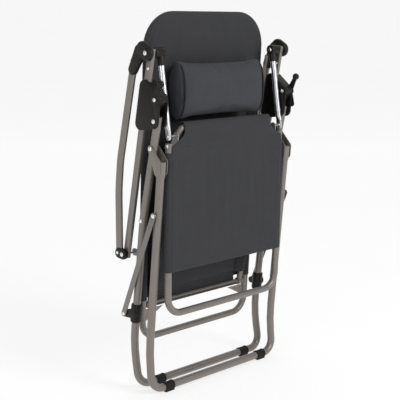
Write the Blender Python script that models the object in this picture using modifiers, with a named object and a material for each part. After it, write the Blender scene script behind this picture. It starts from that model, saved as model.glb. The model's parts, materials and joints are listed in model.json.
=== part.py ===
"""A folding camp lounger, folded flat and standing on its four feet.

Metres, +Z up. The sitter would face -Y, so their left hand is at +X. The origin is under the middle.
The side view is drawn as (y, z) points; every piece on a side is made twice, at -X and at +X.
The front links are the root: the arms, back, seat and legrest hang from them, and the crossed legs
hang from the locks that slide on the arms' rails.
"""

import math

import bmesh
import bpy
from mathutils import Matrix, Vector

# ---- Sizes that can be set by themselves -------------------------------------------------------
LEG_HALF_WIDTH = 0.280      # middle of the leg tubes, from the middle of the chair
BACK_HALF_WIDTH = 0.2345    # middle of the back's tube at its foot
SEAT_HALF_WIDTH = 0.2065    # middle of the seat's side tubes
LEGREST_HALF_WIDTH = 0.2465 # middle of the legrest's side tubes
HEAD_HALF_WIDTH = 0.246     # middle of the back's tube at the headrest
LEG_TUBE = 0.025            # tube diameters
FRAME_TUBE = 0.022
SEAT_TUBE = 0.020
LINK_TUBE = 0.018
CROSS_TUBE = 0.016
RAIL_WIDTH, RAIL_THICKNESS = 0.024, 0.014    # flat bar that the locks slide on
ARM_WIDTH, ARM_THICKNESS = 0.028, 0.013      # flattened tube under the sitter's arm
BRACE_WIDTH, SHEET = 0.020, 0.003            # flat bars and steel plates
BRACKET_SHEET = 0.0025
COLLAR_WALL, COLLAR_LENGTH = 0.005, 0.060
END_WALL = 0.003            # moulded arm ends, outside the arm tube
FOOT_WALL, FOOT_LENGTH = 0.003, 0.038
FRONT_FOOT_INSET, REAR_FOOT_INSET = 0.067, 0.086    # from the leg tube's middle to the foot's
HOUSING_WALL = 0.0052
KNUCKLE_WALL = 0.0025
FABRIC = 0.003              # thickness of the sling cloth
PIN = 0.004                 # radius of the pivot pins
HEAD_RADIUS, HEAD_HEIGHT = 0.0075, 0.0022    # their heads
CORNER = 0.055              # bend radius of the frames' corners, to the tube's middle
LEG_CORNER = 0.044
HEAD_CORNER = 0.100
SEAT_CORNER = 0.035
LEG_END = 0.014             # rear leg tube above its top pin
PAD_HALF_DEPTH = 0.011      # flat pad under a foot sleeve
PAD_HEIGHT = 0.006
CHEEK_RADIUS, BRACKET_RADIUS = 0.014, 0.0165
BRACKET_LENGTH, WEB_PAST = 0.030, 0.004
EAR_EYE, EAR_ROOT = 0.0115, 0.016            # lug that the brace is pinned to
ARM_EDGE, END_EDGE, LOCK_EDGE = 0.005, 0.003, 0.002
CAP_EYE, CAP_ROOT = 0.017, 0.0175
LOCK_PIN_RADIUS, LOCK_RAIL_RADIUS, LOCK_LEVER_RADIUS = 0.022, 0.021, 0.016
LOCK_LOW, LOCK_HIGH = 0.858, 0.968           # heights of the lock's ends on the rail
FORK_DEPTH, FORK_ROOM = 0.08, 0.021          # slot for the leg: down and out, up and back
LANE_PAST = 0.1             # the rail's lane is cut this far past its top
LEVER_SHEET = 0.0045
LEVER_HUB, LEVER_TIP, LOBE_TIP, BALL = 0.016, 0.007, 0.010, 0.011
KNUCKLE_RADIUS, LINK_EYE_RADIUS = 0.0155, 0.0120
KNUCKLE_SLEEVE, LINK_START = 0.020, 0.0035   # socket's length, and its floor's thickness
BACK_CLOTH_FOOT = 0.128     # the back's cloth starts this far up its frame
BACK_PLATE_EYE, BACK_PLATE_ROOT = 0.012, 0.009
GUSSET_HEIGHT, GUSSET_REACH = 0.038, 0.150
PILLOW_LOW, PILLOW_HIGH = 0.872, 1.040
PILLOW_HALF_WIDTH, PILLOW_DEPTH, PILLOW_ROUND = 0.188, 0.084, 0.036
PILLOW_GAP = 0.002
EYE_WALL, EYE_WIDTH = 0.0045, 0.020          # eyes of the seat's tubes round the cross tube
SEAT_CLOTH_FOOT, SEAT_NOTCH = 0.040, 0.100
SEAT_BAR_INSET = 0.038      # the cloth on the knee bar ends this far inside the seat's tubes
KNEE_EYE, STUB_EYE, KNEE_ROOT = 0.011, 0.010, 0.009
KNEE_ROOT_HEIGHT = 0.775
LEGREST_END = 0.009         # legrest tube above its pin
LEGREST_CLOTH_FOOT, LEGREST_NOTCH = 0.138, 0.040

# ---- Clearances --------------------------------------------------------------------------------
GAP = 0.0003                # between pieces that touch
RUNNING = 0.0005            # between pieces that slide or turn on each other
SIDE_PLAY = 0.0010          # between neighbours on one pivot, across the chair
LINK_CLEAR = 0.004          # from the locks in to the front links
RAIL_SET_IN = 0.003         # from the leg tube's middle in to the rail
PAST_FACE = 0.01            # how far a cutter stands out of what it cuts

# ---- Side view, (y, z): the joints and the bends ------------------------------------------------
DEPTH_MIDDLE = 0.0370       # the drawing's y that becomes Y = 0
FLOOR_BAR = LEG_TUBE / 2 + FOOT_WALL         # height of the legs' floor bars


def side(y, z):
    """A point of the side view, moved so that Y = 0 is the middle of the folded chair's depth."""
    return Vector((y - DEPTH_MIDDLE, z))


FRONT_PIVOT = side(-0.012, 1.068)    # front link to arm
LINK_FOOT = side(-0.048, 0.820)      # front link to seat, the pivot that is left open
ARM_REAR = side(0.110, 0.440)        # arm to back
LEG_TOP = side(-0.035, 0.867)        # lock to rear leg
LEVER_PIVOT = side(-0.047, 0.932)
KNEE = side(-0.048, 0.790)           # seat to legrest
KNEE_BAR = side(-0.045, 0.846)
BACK_BAR = side(0.100, 0.152)        # lowest tube of the back
HEAD_BAR = side(0.045, 1.179)        # highest tube of the back
SEAT_PIVOT_HEIGHT = 0.263
LEGREST_BAR = side(-0.038, 0.262)
REAR_FOOT = side(0.063, FLOOR_BAR)
REAR_BEND = side(0.087, 0.150)
REAR_STOP = side(0.035, 0.556)
FRONT_FOOT = side(0.0, FLOOR_BAR)
FRONT_BEND = side(0.012, 0.130)
FRONT_TOP = side(-0.050, 0.745)
LEG_HINGE_HEIGHT = 0.784
BRACE_TOP_HEIGHT = 0.582
COLLAR_HEIGHT = 0.254
BRACE_EYE = side(0.112, 0.247)       # brace to collar, the other open pivot
RAIL_TOP = side(-0.014, 1.070)
ARM_BENDS = (side(0.048, 1.046), side(0.120, 0.735), side(0.130, 0.640), side(0.130, 0.448))
GRIP_CIRCLES = ((side(-0.012, 1.068), 0.0245), (side(0.007, 1.079), 0.0245),
                (side(0.052, 1.018), 0.0180))
CAP_MIDDLE = side(0.1275, 0.442)
LEVER_BALL = side(-0.073, 0.979)
LEVER_LOBE = side(-0.058, 0.888)
ARC_STEP = math.radians(15)          # turn between two points of a bend
ROUND = 12                           # sides of a turned piece


def along(lower, upper, height):
    """The point at this height on the line from lower to upper."""
    share = (height - lower.y) / (upper.y - lower.y)
    return lower + (upper - lower) * share


LEG_HINGE = along(REAR_STOP, LEG_TOP, LEG_HINGE_HEIGHT)
BRACE_TOP = along(FRONT_BEND, FRONT_TOP, BRACE_TOP_HEIGHT)
COLLAR_MIDDLE = along(REAR_BEND, REAR_STOP, COLLAR_HEIGHT)
SEAT_PIVOT = along(BACK_BAR, HEAD_BAR, SEAT_PIVOT_HEIGHT)

# ---- Places across the chair, from the middle out ----------------------------------------------
KNEE_PLATE_X = SEAT_HALF_WIDTH + SEAT_TUBE / 2 + RUNNING            # inner face
BACK_INNER = BACK_HALF_WIDTH - FRAME_TUBE / 2 - GAP
ARM_REAR_SHARE = (ARM_REAR.y - BACK_BAR.y) / (HEAD_BAR.y - BACK_BAR.y)
PIVOT_PLATE_X = (BACK_HALF_WIDTH + (HEAD_HALF_WIDTH - BACK_HALF_WIDTH) * ARM_REAR_SHARE
                 + FRAME_TUBE / 2 + FABRIC + RUNNING)               # inner face
LEG_INNER = LEG_HALF_WIDTH - LEG_TUBE / 2
LEG_OUTER = LEG_HALF_WIDTH + LEG_TUBE / 2
BRACKET_INNER = LEG_INNER - SIDE_PLAY - BRACKET_SHEET
BRACKET_OUTER = LEG_OUTER + SIDE_PLAY + BRACKET_SHEET
HOUSING_INNER = LEG_INNER - RUNNING - HOUSING_WALL
HOUSING_OUTER = LEG_OUTER + RUNNING + HOUSING_WALL
LINK_X = HOUSING_INNER - LINK_CLEAR - LINK_TUBE / 2
KNUCKLE_INNER = LINK_X - LINK_TUBE / 2 - KNUCKLE_WALL
RAIL_INNER = LEG_HALF_WIDTH - RAIL_SET_IN
RAIL_OUTER = RAIL_INNER + RAIL_THICKNESS
BRACE_X = LEG_OUTER + RUNNING + COLLAR_WALL + RUNNING               # inner face
ARM_INNER = RAIL_OUTER + RUNNING                                    # also of grips and caps
ARM_OUTER = ARM_INNER + ARM_THICKNESS
ENDS_OUTER = ARM_OUTER + END_WALL
LEVER_X = HOUSING_OUTER + RUNNING
SLOT_HALF = LEG_TUBE / 2 + RUNNING

SIDES = (("right", -1), ("left", 1))


# ---- Scene ---------------------------------------------------------------------------------------
for old in list(bpy.data.objects):
    bpy.data.objects.remove(old, do_unlink=True)

PARTS = bpy.data.collections.new("folding_camp_chair")
CUTTERS = bpy.data.collections.new("cutters")
for group in (PARTS, CUTTERS):
    bpy.context.scene.collection.children.link(group)


def material(name, colour, roughness, metallic=0.0):
    made = bpy.data.materials.new(name)
    made.use_nodes = True
    shader = made.node_tree.nodes["Principled BSDF"]
    shader.inputs["Base Color"].default_value = (*colour, 1.0)
    shader.inputs["Roughness"].default_value = roughness
    shader.inputs["Metallic"].default_value = metallic
    made.diffuse_color = (*colour, 1.0)
    return made


GREY_TUBE = material("grey_lacquered_tube", (0.23, 0.21, 0.20), 0.35, 0.6)
BRIGHT = material("bright_aluminium", (0.75, 0.76, 0.78), 0.22, 1.0)
BLACK_PLASTIC = material("black_plastic", (0.015, 0.013, 0.012), 0.4)
CHARCOAL_CLOTH = material("charcoal_sling_cloth", (0.045, 0.045, 0.047), 0.85)
PILLOW_CLOTH = material("pillow_cloth", (0.065, 0.065, 0.067), 0.9)
RUBBER = material("black_rubber", (0.012, 0.012, 0.012), 0.7)
CHROME = material("chromed_pin", (0.8, 0.8, 0.8), 0.12, 1.0)

BODIES = {}


def body(name, joint, parent=None):
    """An empty on the joint's axis, which carries the pieces that move together."""
    empty = bpy.data.objects.new(name, None)
    PARTS.objects.link(empty)
    empty.empty_display_size = 0.03
    spot = Vector((0, joint.x, joint.y))
    empty.location = spot
    if parent:
        empty.parent = BODIES[parent][0]
        empty.location = spot - BODIES[parent][1]
    BODIES[name] = (empty, spot)


def put(obj, name, on, finish):
    """Names a finished piece, gives it its material and hangs it on its body, where it already is."""
    obj.name = name
    obj.data.name = name
    obj.data.materials.clear()
    obj.data.materials.append(finish)
    empty, spot = BODIES[on]
    obj.parent = empty
    obj.matrix_parent_inverse = Matrix.Translation(-spot)
    return obj


def cutter(obj):
    """Turns an object into a helper that only shapes others."""
    for group in list(obj.users_collection):
        group.objects.unlink(obj)
    CUTTERS.objects.link(obj)
    obj.hide_render = True
    obj.display_type = "WIRE"
    return obj


def combine(obj, other, operation):
    modifier = obj.modifiers.new(operation.lower(), "BOOLEAN")
    modifier.operation = operation
    modifier.object = cutter(other)
    return obj


# ---- Shapes --------------------------------------------------------------------------------------
def rounded_path(corners, radius):
    """The corners joined by straight runs, with an arc of this radius at each inner corner."""
    radii = radius if isinstance(radius, (list, tuple)) else [radius] * (len(corners) - 2)
    points = [corners[0]]
    for before, corner, after, bend in zip(corners, corners[1:], corners[2:], radii):
        back = (before - corner).normalized()
        ahead = (after - corner).normalized()
        turn = math.pi - back.angle(ahead)
        reach = bend * math.tan(turn / 2)
        middle = corner + (back + ahead).normalized() * (bend / math.cos(turn / 2))
        start = corner + back * reach - middle
        axis = start.cross(corner + ahead * reach - middle).normalized()
        steps = max(1, math.ceil(turn / ARC_STEP))
        for step in range(steps + 1):
            points.append(middle + Matrix.Rotation(turn * step / steps, 3, axis) @ start)
    return points + [corners[-1]]


def as_mesh(curve_object):
    """A mesh object in place of a curve object, its caps welded to its sides."""
    bpy.context.view_layer.update()
    graph = bpy.context.evaluated_depsgraph_get()
    mesh = bpy.data.meshes.new_from_object(curve_object.evaluated_get(graph))
    form = bmesh.new()
    form.from_mesh(mesh)
    bmesh.ops.remove_doubles(form, verts=form.verts, dist=1e-6)
    bmesh.ops.recalc_face_normals(form, faces=form.faces)
    form.to_mesh(mesh)
    form.free()
    made = bpy.data.objects.new(curve_object.name, mesh)
    PARTS.objects.link(made)
    made.matrix_world = curve_object.matrix_world
    bpy.data.objects.remove(curve_object, do_unlink=True)
    return made


def smooth(obj, degrees=40):
    obj.data.shade_smooth()
    obj.data.set_sharp_from_angle(angle=math.radians(degrees))
    return obj


def tube(points, radius, closed=False, resolution=4):
    """A round tube along the points."""
    curve = bpy.data.curves.new("tube", "CURVE")
    curve.dimensions = "3D"
    curve.twist_mode = "MINIMUM"
    line = curve.splines.new("POLY")
    line.points.add(len(points) - 1)
    for spot, point in zip(line.points, points):
        spot.co = (*point, 1.0)
    line.use_cyclic_u = closed
    curve.bevel_depth = radius
    curve.bevel_resolution = resolution
    curve.use_fill_caps = not closed
    obj = bpy.data.objects.new("tube", curve)
    PARTS.objects.link(obj)
    return smooth(as_mesh(obj))


def turns_right(first, second, third):
    across = (second[0] - first[0]) * (third[1] - second[1])
    return across - (second[1] - first[1]) * (third[0] - second[0]) <= 1e-12


def hull(circles, sides=16):
    """The outline of a rubber band round circles, each ((y, z), radius)."""
    points = []
    for middle, radius in circles:
        for step in range(sides):
            turn = 2 * math.pi * (step + 0.5) / sides
            points.append((middle[0] + radius * math.cos(turn), middle[1] + radius * math.sin(turn)))
    points.sort()
    halves = []
    for ordered in (points, points[::-1]):
        half = []
        for point in ordered:
            while len(half) > 1 and turns_right(half[-2], half[-1], point):
                half.pop()
            half.append(point)
        halves += half[:-1]
    return halves


def flat(outline, low, high, holes=(), edge=0.0):
    """A plate of this outline, from local height low to high, with round holes ((u, v), radius)."""
    curve = bpy.data.curves.new("plate", "CURVE")
    curve.dimensions = "2D"
    curve.fill_mode = "BOTH"
    loops = [outline]
    for middle, radius in holes:
        steps = [2 * math.pi * step / ROUND for step in range(ROUND)]
        loops.append([(middle[0] + radius * math.cos(turn), middle[1] + radius * math.sin(turn))
                      for turn in steps])
    for loop in loops:
        line = curve.splines.new("POLY")
        line.points.add(len(loop) - 1)
        for spot, point in zip(line.points, loop):
            spot.co = (point[0], point[1], 0.0, 1.0)
        line.use_cyclic_u = True
    curve.extrude = (high - low) / 2 - edge
    curve.bevel_depth = edge
    curve.bevel_resolution = 1
    curve.offset = -edge
    obj = bpy.data.objects.new("plate", curve)
    PARTS.objects.link(obj)
    made = smooth(as_mesh(obj))
    made.data.transform(Matrix.Translation((0, 0, (low + high) / 2)))
    return made


def side_plate(outline, low, high, sign, holes=(), edge=0.0):
    """A plate in the side view, between two distances from the middle of the chair."""
    first, last = sorted((sign * low, sign * high))
    obj = flat(outline, first, last, holes, edge)
    obj.rotation_euler = (math.pi / 2, 0, math.pi / 2)
    return obj


def rod(spot, low, high, radius, sign, sides=ROUND):
    """A cylinder across the chair at a side-view spot, between two distances from the middle."""
    form = bmesh.new()
    bmesh.ops.create_cone(form, cap_ends=True, segments=sides, radius1=radius, radius2=radius,
                          depth=high - low)
    bmesh.ops.rotate(form, verts=form.verts, matrix=Matrix.Rotation(math.pi / sides, 3, "Z"))
    mesh = bpy.data.meshes.new("rod")
    form.to_mesh(mesh)
    form.free()
    obj = bpy.data.objects.new("rod", mesh)
    PARTS.objects.link(obj)
    obj.rotation_euler = (0, math.pi / 2, 0)
    obj.location = (sign * (low + high) / 2, spot.x, spot.y)
    return smooth(obj)


def box(low, high):
    form = bmesh.new()
    bmesh.ops.create_cube(form, size=1.0)
    size = Vector(high) - Vector(low)
    bmesh.ops.scale(form, vec=size, verts=form.verts)
    mesh = bpy.data.meshes.new("box")
    form.to_mesh(mesh)
    form.free()
    obj = bpy.data.objects.new("box", mesh)
    PARTS.objects.link(obj)
    obj.location = (Vector(low) + Vector(high)) / 2
    return obj


def lean(lower, upper):
    """The turn about X that stands a flat frame on the line from lower to upper."""
    return math.atan2(lower.x - upper.x, upper.y - lower.y)


def stand(obj, lower, upper, turned=0.0):
    """Places a frame drawn upright at its own origin onto the line from lower to upper."""
    obj.location = (0, lower.x, lower.y)
    obj.rotation_euler = (lean(lower, upper) + turned, 0, 0)
    return obj


def pin(spot, stretches, sign):
    """A turned pin: (low, high, radius) stretches across the chair, joined into one piece."""
    first, *others = [rod(spot, low, high, radius, sign) for low, high, radius in stretches]
    for other in others:
        combine(first, other, "UNION")
    return first


def headed_pin(spot, low, high, sign, spacer=None):
    """A pin whose heads sit outside the faces at low and high."""
    stretches = [(low - GAP - HEAD_HEIGHT, low - GAP, HEAD_RADIUS),
                 (low - GAP - HEAD_HEIGHT / 2, high + GAP + HEAD_HEIGHT / 2, PIN),
                 (high + GAP, high + GAP + HEAD_HEIGHT, HEAD_RADIUS)]
    if spacer:
        stretches.insert(1, (spacer[0] + GAP, spacer[1] - GAP, HEAD_RADIUS))
    return pin(spot, stretches, sign)


def bore(obj, spot, low, high, sign, radius=PIN + RUNNING):
    """A hole across the chair, through everything between low and high."""
    return combine(obj, rod(spot, low - PAST_FACE, high + PAST_FACE, radius, sign), "DIFFERENCE")


def at_x(x, spot):
    return Vector((x, spot.x, spot.y))


# ---- Bodies --------------------------------------------------------------------------------------
body("front_links", FRONT_PIVOT)
body("arms", FRONT_PIVOT, "front_links")
body("back", ARM_REAR, "arms")
body("seat", SEAT_PIVOT, "back")
body("legrest", KNEE, "seat")
body("locks", LEG_TOP, "arms")
body("lever_right_body", LEVER_PIVOT, "locks")
body("lever_left_body", LEVER_PIVOT, "locks")
body("rear_leg", LEG_TOP, "locks")
body("front_leg", LEG_HINGE, "rear_leg")
body("braces", BRACE_TOP, "front_leg")
body("collars", COLLAR_MIDDLE, "rear_leg")


# ---- Legs ----------------------------------------------------------------------------------------
def leg_points(bends, radii):
    """The path of a U-shaped leg: down the right side, across the floor, up the left side."""
    down = [at_x(-LEG_HALF_WIDTH, spot) for spot in bends]
    up = [at_x(LEG_HALF_WIDTH, spot) for spot in reversed(bends)]
    return rounded_path(down + up, radii + [LEG_CORNER, LEG_CORNER] + radii[::-1])


REAR_TOP = LEG_TOP + (LEG_TOP - REAR_STOP).normalized() * LEG_END


def rear_leg():
    frame = tube(leg_points([REAR_TOP, REAR_STOP, REAR_BEND, REAR_FOOT], [0.25, 0.15]), LEG_TUBE / 2)
    for _, sign in SIDES:
        for spot in (LEG_TOP, LEG_HINGE, REAR_STOP):
            bore(frame, spot, LEG_INNER, LEG_OUTER, sign)
    put(frame, "rear_leg_frame", "rear_leg", GREY_TUBE)
    for name, sign in SIDES:
        foot(f"rear_foot_{name}", "rear_leg", REAR_FOOT, LEG_HALF_WIDTH - REAR_FOOT_INSET, sign)
        stop = headed_pin(REAR_STOP, LEG_INNER, LEG_OUTER, sign)
        put(stop, f"collar_stop_{name}", "rear_leg", CHROME)


def foot(name, on, spot, middle, sign):
    """A rubber sleeve on the floor bar, with a flat pad under it."""
    low, high = middle - FOOT_LENGTH / 2, middle + FOOT_LENGTH / 2
    sleeve = rod(spot, low, high, LEG_TUBE / 2 + FOOT_WALL, sign, 16)
    first, last = sorted((sign * low, sign * high))
    pad = box((first, spot.x - PAD_HALF_DEPTH, 0.0), (last, spot.x + PAD_HALF_DEPTH, PAD_HEIGHT))
    combine(sleeve, pad, "UNION")
    bore(sleeve, spot, low, high, sign, (LEG_TUBE / 2 + GAP) / math.cos(math.pi / ROUND))
    put(sleeve, name, on, RUBBER)


def front_leg():
    frame = tube(leg_points([FRONT_TOP, FRONT_BEND, FRONT_FOOT], [0.35]), LEG_TUBE / 2)
    for _, sign in SIDES:
        bore(frame, BRACE_TOP, LEG_INNER, LEG_OUTER, sign)
    put(frame, "front_leg_frame", "front_leg", GREY_TUBE)
    for name, sign in SIDES:
        foot(f"front_foot_{name}", "front_leg", FRONT_FOOT, LEG_HALF_WIDTH - FRONT_FOOT_INSET, sign)
        hinge_bracket(name, sign)
        hinge = headed_pin(LEG_HINGE, BRACKET_INNER, BRACKET_OUTER, sign)
        put(hinge, f"leg_hinge_pin_{name}", "front_leg", CHROME)


def hinge_bracket(name, sign):
    """Folded sheet round the front leg's top, whose two cheeks straddle the rear leg at the hinge."""
    down = (FRONT_BEND - FRONT_TOP).normalized()
    low_end = FRONT_TOP + down * BRACKET_LENGTH
    outline = hull(((LEG_HINGE, CHEEK_RADIUS), (FRONT_TOP, BRACKET_RADIUS), (low_end, BRACKET_RADIUS)))
    hole = ((LEG_HINGE, PIN + RUNNING),)
    clevis = side_plate(outline, BRACKET_INNER, BRACKET_INNER + BRACKET_SHEET, sign, hole)
    outer = side_plate(outline, BRACKET_OUTER - BRACKET_SHEET, BRACKET_OUTER, sign, hole)
    combine(clevis, outer, "UNION")
    reach = LEG_TUBE / 2 + SIDE_PLAY
    inner, outer = BRACKET_INNER + BRACKET_SHEET / 2, BRACKET_OUTER - BRACKET_SHEET / 2
    first, last = sorted((sign * inner, sign * outer))
    web = box((first, -reach - BRACKET_SHEET, -WEB_PAST),
              (last, -reach, BRACKET_LENGTH + WEB_PAST))
    web.data.transform(Matrix.Translation(web.location))
    stand(web, low_end, FRONT_TOP)
    combine(clevis, web, "UNION")
    put(clevis, f"hinge_bracket_{name}", "front_leg", GREY_TUBE)


def braces_and_collars():
    run = (REAR_STOP - REAR_BEND).normalized()
    reach = run * COLLAR_LENGTH / 2
    for name, sign in SIDES:
        bar = side_plate(hull(((BRACE_TOP, BRACE_WIDTH / 2), (BRACE_EYE, BRACE_WIDTH / 2))),
                         BRACE_X, BRACE_X + SHEET, sign,
                         ((BRACE_TOP, PIN + RUNNING), (BRACE_EYE, PIN + RUNNING)))
        put(bar, f"brace_{name}", "braces", GREY_TUBE)
        pivot = headed_pin(BRACE_TOP, LEG_INNER, BRACE_X + SHEET, sign, (LEG_OUTER, BRACE_X))
        put(pivot, f"brace_pin_{name}", "front_leg", CHROME)

        outer = LEG_TUBE / 2 + RUNNING + COLLAR_WALL
        ends = [at_x(sign * LEG_HALF_WIDTH, COLLAR_MIDDLE + end) for end in (-reach, reach)]
        collar = tube(ends, outer - GAP)
        ear = side_plate(hull(((BRACE_EYE, EAR_EYE), (COLLAR_MIDDLE, EAR_ROOT))),
                         LEG_OUTER - COLLAR_WALL, LEG_HALF_WIDTH + outer - GAP, sign)
        combine(collar, ear, "UNION")
        long_ends = [2 * ends[0] - ends[1], 2 * ends[1] - ends[0]]
        combine(collar, tube(long_ends, LEG_TUBE / 2 + RUNNING), "DIFFERENCE")
        put(collar, f"slide_collar_{name}", "collars", BLACK_PLASTIC)


# ---- Arms ----------------------------------------------------------------------------------------
RAIL_FOOT = ARM_REAR
RAIL_LINE = (RAIL_FOOT - RAIL_TOP).normalized()


def strip(points, width):
    """The outline of a band of this width along side-view points."""
    edges = ([], [])
    for index, point in enumerate(points):
        ahead = points[min(index + 1, len(points) - 1)] - points[max(index - 1, 0)]
        across = Vector((-ahead.y, ahead.x)).normalized() * width / 2
        edges[0].append(point + across)
        edges[1].append(point - across)
    return edges[0] + edges[1][::-1]


def arms():
    bends = [Vector((spot.x, spot.y, 0)) for spot in ARM_BENDS]
    arch = [point.to_2d() for point in rounded_path(bends, [0.30, 0.45])]
    rail = hull(((RAIL_TOP, RAIL_WIDTH / 2), (RAIL_FOOT, RAIL_WIDTH / 2)))
    for name, sign in SIDES:
        bar = side_plate(strip(arch, ARM_WIDTH), ARM_INNER, ARM_OUTER, sign, edge=ARM_EDGE)
        put(bar, f"arm_tube_{name}", "arms", GREY_TUBE)
        holes = ((FRONT_PIVOT, PIN + RUNNING), (ARM_REAR, PIN + RUNNING))
        flat_bar = side_plate(rail, RAIL_INNER, RAIL_OUTER, sign, holes)
        put(flat_bar, f"slide_rail_{name}", "arms", GREY_TUBE)
        arm_end(f"arm_grip_{name}", hull(GRIP_CIRCLES), arch, sign, FRONT_PIVOT)
        cap = hull(((ARM_REAR, CAP_EYE), (CAP_MIDDLE, CAP_ROOT)))
        arm_end(f"arm_rear_cap_{name}", cap, arch, sign, ARM_REAR)
        front = headed_pin(FRONT_PIVOT, KNUCKLE_INNER - SIDE_PLAY, ENDS_OUTER, sign)
        put(front, f"arm_front_bolt_{name}", "arms", CHROME)
        rear = headed_pin(ARM_REAR, PIVOT_PLATE_X, ENDS_OUTER, sign,
                          (PIVOT_PLATE_X + SHEET, RAIL_INNER))
        put(rear, f"arm_rear_bolt_{name}", "arms", CHROME)


def arm_end(name, outline, arch, sign, hole):
    """A moulded end piece, with a pocket that takes the arm tube's end."""
    end = side_plate(outline, ARM_INNER, ENDS_OUTER, sign, edge=END_EDGE)
    bore(end, hole, ARM_INNER, ENDS_OUTER, sign)
    pocket = side_plate(strip(arch, ARM_WIDTH + 2 * GAP), ARM_INNER - GAP, ARM_OUTER + GAP,
                        sign)
    combine(end, pocket, "DIFFERENCE")
    put(end, name, "arms", BLACK_PLASTIC)


# ---- Locks ---------------------------------------------------------------------------------------
def locks():
    """Blocks that slide on the rails; each holds a rear leg's top in a fork, and a cam lever."""
    behind = along(RAIL_FOOT, RAIL_TOP, LOCK_LOW)
    above = along(RAIL_FOOT, RAIL_TOP, LOCK_HIGH)
    outline = hull(((LEG_TOP, LOCK_PIN_RADIUS), (behind, LOCK_RAIL_RADIUS),
                    (above, LOCK_RAIL_RADIUS), (LEVER_PIVOT, LOCK_LEVER_RADIUS)))
    for name, sign in SIDES:
        block = side_plate(outline, HOUSING_INNER, HOUSING_OUTER, sign, edge=LOCK_EDGE)
        bore(block, LEG_TOP, HOUSING_INNER, HOUSING_OUTER, sign)
        fork_low, fork_high = sorted(sign * (LEG_HALF_WIDTH + way * SLOT_HALF) for way in (-1, 1))
        fork = box((fork_low, LEG_TOP.x - FORK_DEPTH, LEG_TOP.y - FORK_DEPTH),
                   (fork_high, LEG_TOP.x + FORK_ROOM, LEG_TOP.y + FORK_ROOM))
        combine(block, fork, "DIFFERENCE")
        lane = hull(((RAIL_TOP - RAIL_LINE * LANE_PAST, RAIL_WIDTH / 2 + RUNNING),
                     (RAIL_FOOT, RAIL_WIDTH / 2 + RUNNING)))
        channel = side_plate(lane, RAIL_INNER - RUNNING, RAIL_OUTER + RUNNING, sign)
        combine(block, channel, "DIFFERENCE")
        put(block, f"lock_housing_{name}", "locks", BLACK_PLASTIC)
        top_pin = headed_pin(LEG_TOP, HOUSING_INNER, HOUSING_OUTER, sign)
        put(top_pin, f"leg_top_pin_{name}", "locks", CHROME)
        lever(name, sign)


def lever(name, sign):
    """A cam lever: a flat arm on its pivot, a lobe below and a ball to pull on."""
    arm, lobe = (side_plate(hull(((LEVER_PIVOT, LEVER_HUB), (end, tip))),
                            LEVER_X, LEVER_X + LEVER_SHEET, sign)
                 for end, tip in ((LEVER_BALL, LEVER_TIP), (LEVER_LOBE, LOBE_TIP)))
    combine(arm, lobe, "UNION")
    form = bmesh.new()
    bmesh.ops.create_uvsphere(form, u_segments=16, v_segments=8, radius=BALL)
    mesh = bpy.data.meshes.new("ball")
    form.to_mesh(mesh)
    form.free()
    ball = bpy.data.objects.new("ball", mesh)
    PARTS.objects.link(ball)
    ball.location = at_x(sign * (LEVER_X + LEVER_SHEET / 2), LEVER_BALL)
    combine(arm, ball, "UNION")
    put(arm, f"lock_lever_{name}", f"lever_{name}_body", BLACK_PLASTIC)


# ---- Front links ---------------------------------------------------------------------------------
def front_links():
    line = (LINK_FOOT - FRONT_PIVOT).normalized()
    start = FRONT_PIVOT + line * (KNUCKLE_RADIUS + LINK_START)
    finish = LINK_FOOT - line * (LINK_EYE_RADIUS + RUNNING)
    inner, outer = LINK_X - LINK_TUBE / 2, LINK_X + LINK_TUBE / 2
    for name, sign in SIDES:
        bar = tube([at_x(sign * LINK_X, start), at_x(sign * LINK_X, finish)], LINK_TUBE / 2)
        put(bar, f"front_link_{name}", "front_links", BRIGHT)
        sleeve_end = start + line * KNUCKLE_SLEEVE
        sleeve = tube([at_x(sign * LINK_X, FRONT_PIVOT), at_x(sign * LINK_X, sleeve_end)],
                      LINK_TUBE / 2 + KNUCKLE_WALL)
        hub = rod(FRONT_PIVOT, KNUCKLE_INNER, RAIL_INNER - SIDE_PLAY, KNUCKLE_RADIUS, sign, 16)
        combine(sleeve, hub, "UNION")
        socket = tube([at_x(sign * LINK_X, start - line * GAP), at_x(sign * LINK_X, finish)],
                      LINK_TUBE / 2 + GAP)
        combine(sleeve, socket, "DIFFERENCE")
        bore(sleeve, FRONT_PIVOT, inner, RAIL_INNER, sign)
        put(sleeve, f"link_knuckle_{name}", "front_links", BLACK_PLASTIC)
        eye = rod(LINK_FOOT, inner, outer, LINK_EYE_RADIUS, sign, 16)
        put(eye, f"link_eye_{name}", "front_links", BRIGHT)


# ---- Back ----------------------------------------------------------------------------------------
def frame_loop(lower, upper, low_half, high_half, low_corner, high_corner):
    """A closed frame drawn upright from its lowest bar, as points of the tube's middle."""
    height = (upper - lower).length
    mid = Vector((0, 0, 0))
    corners = [mid, Vector((low_half, 0, 0)), Vector((high_half, 0, height)),
               Vector((-high_half, 0, height)), Vector((-low_half, 0, 0)), mid]
    return rounded_path(corners, [low_corner, high_corner, high_corner, low_corner])[:-1]


def arch_points(half_low, half_high, low, high, corner):
    """An upright arch: up the left, across the top and down the right, as the tube's middle line."""
    return rounded_path([Vector((half_low, 0, low)), Vector((half_high, 0, high)),
                         Vector((-half_high, 0, high)), Vector((-half_low, 0, low))], corner)


def sling(path, outline, radius, inside, lower, upper):
    """Cloth with tube sleeves: a panel and sleeves round the frame's tubes, hollowed for the tubes."""
    panel = flat(outline, -FABRIC / 2 - inside, FABRIC / 2 - inside)
    panel.data.transform(Matrix.Rotation(math.pi / 2, 4, "X"))
    stand(panel, lower, upper)
    for points in path:
        combine(panel, stand(tube(points, radius + FABRIC), lower, upper), "UNION")
    return panel


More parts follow.
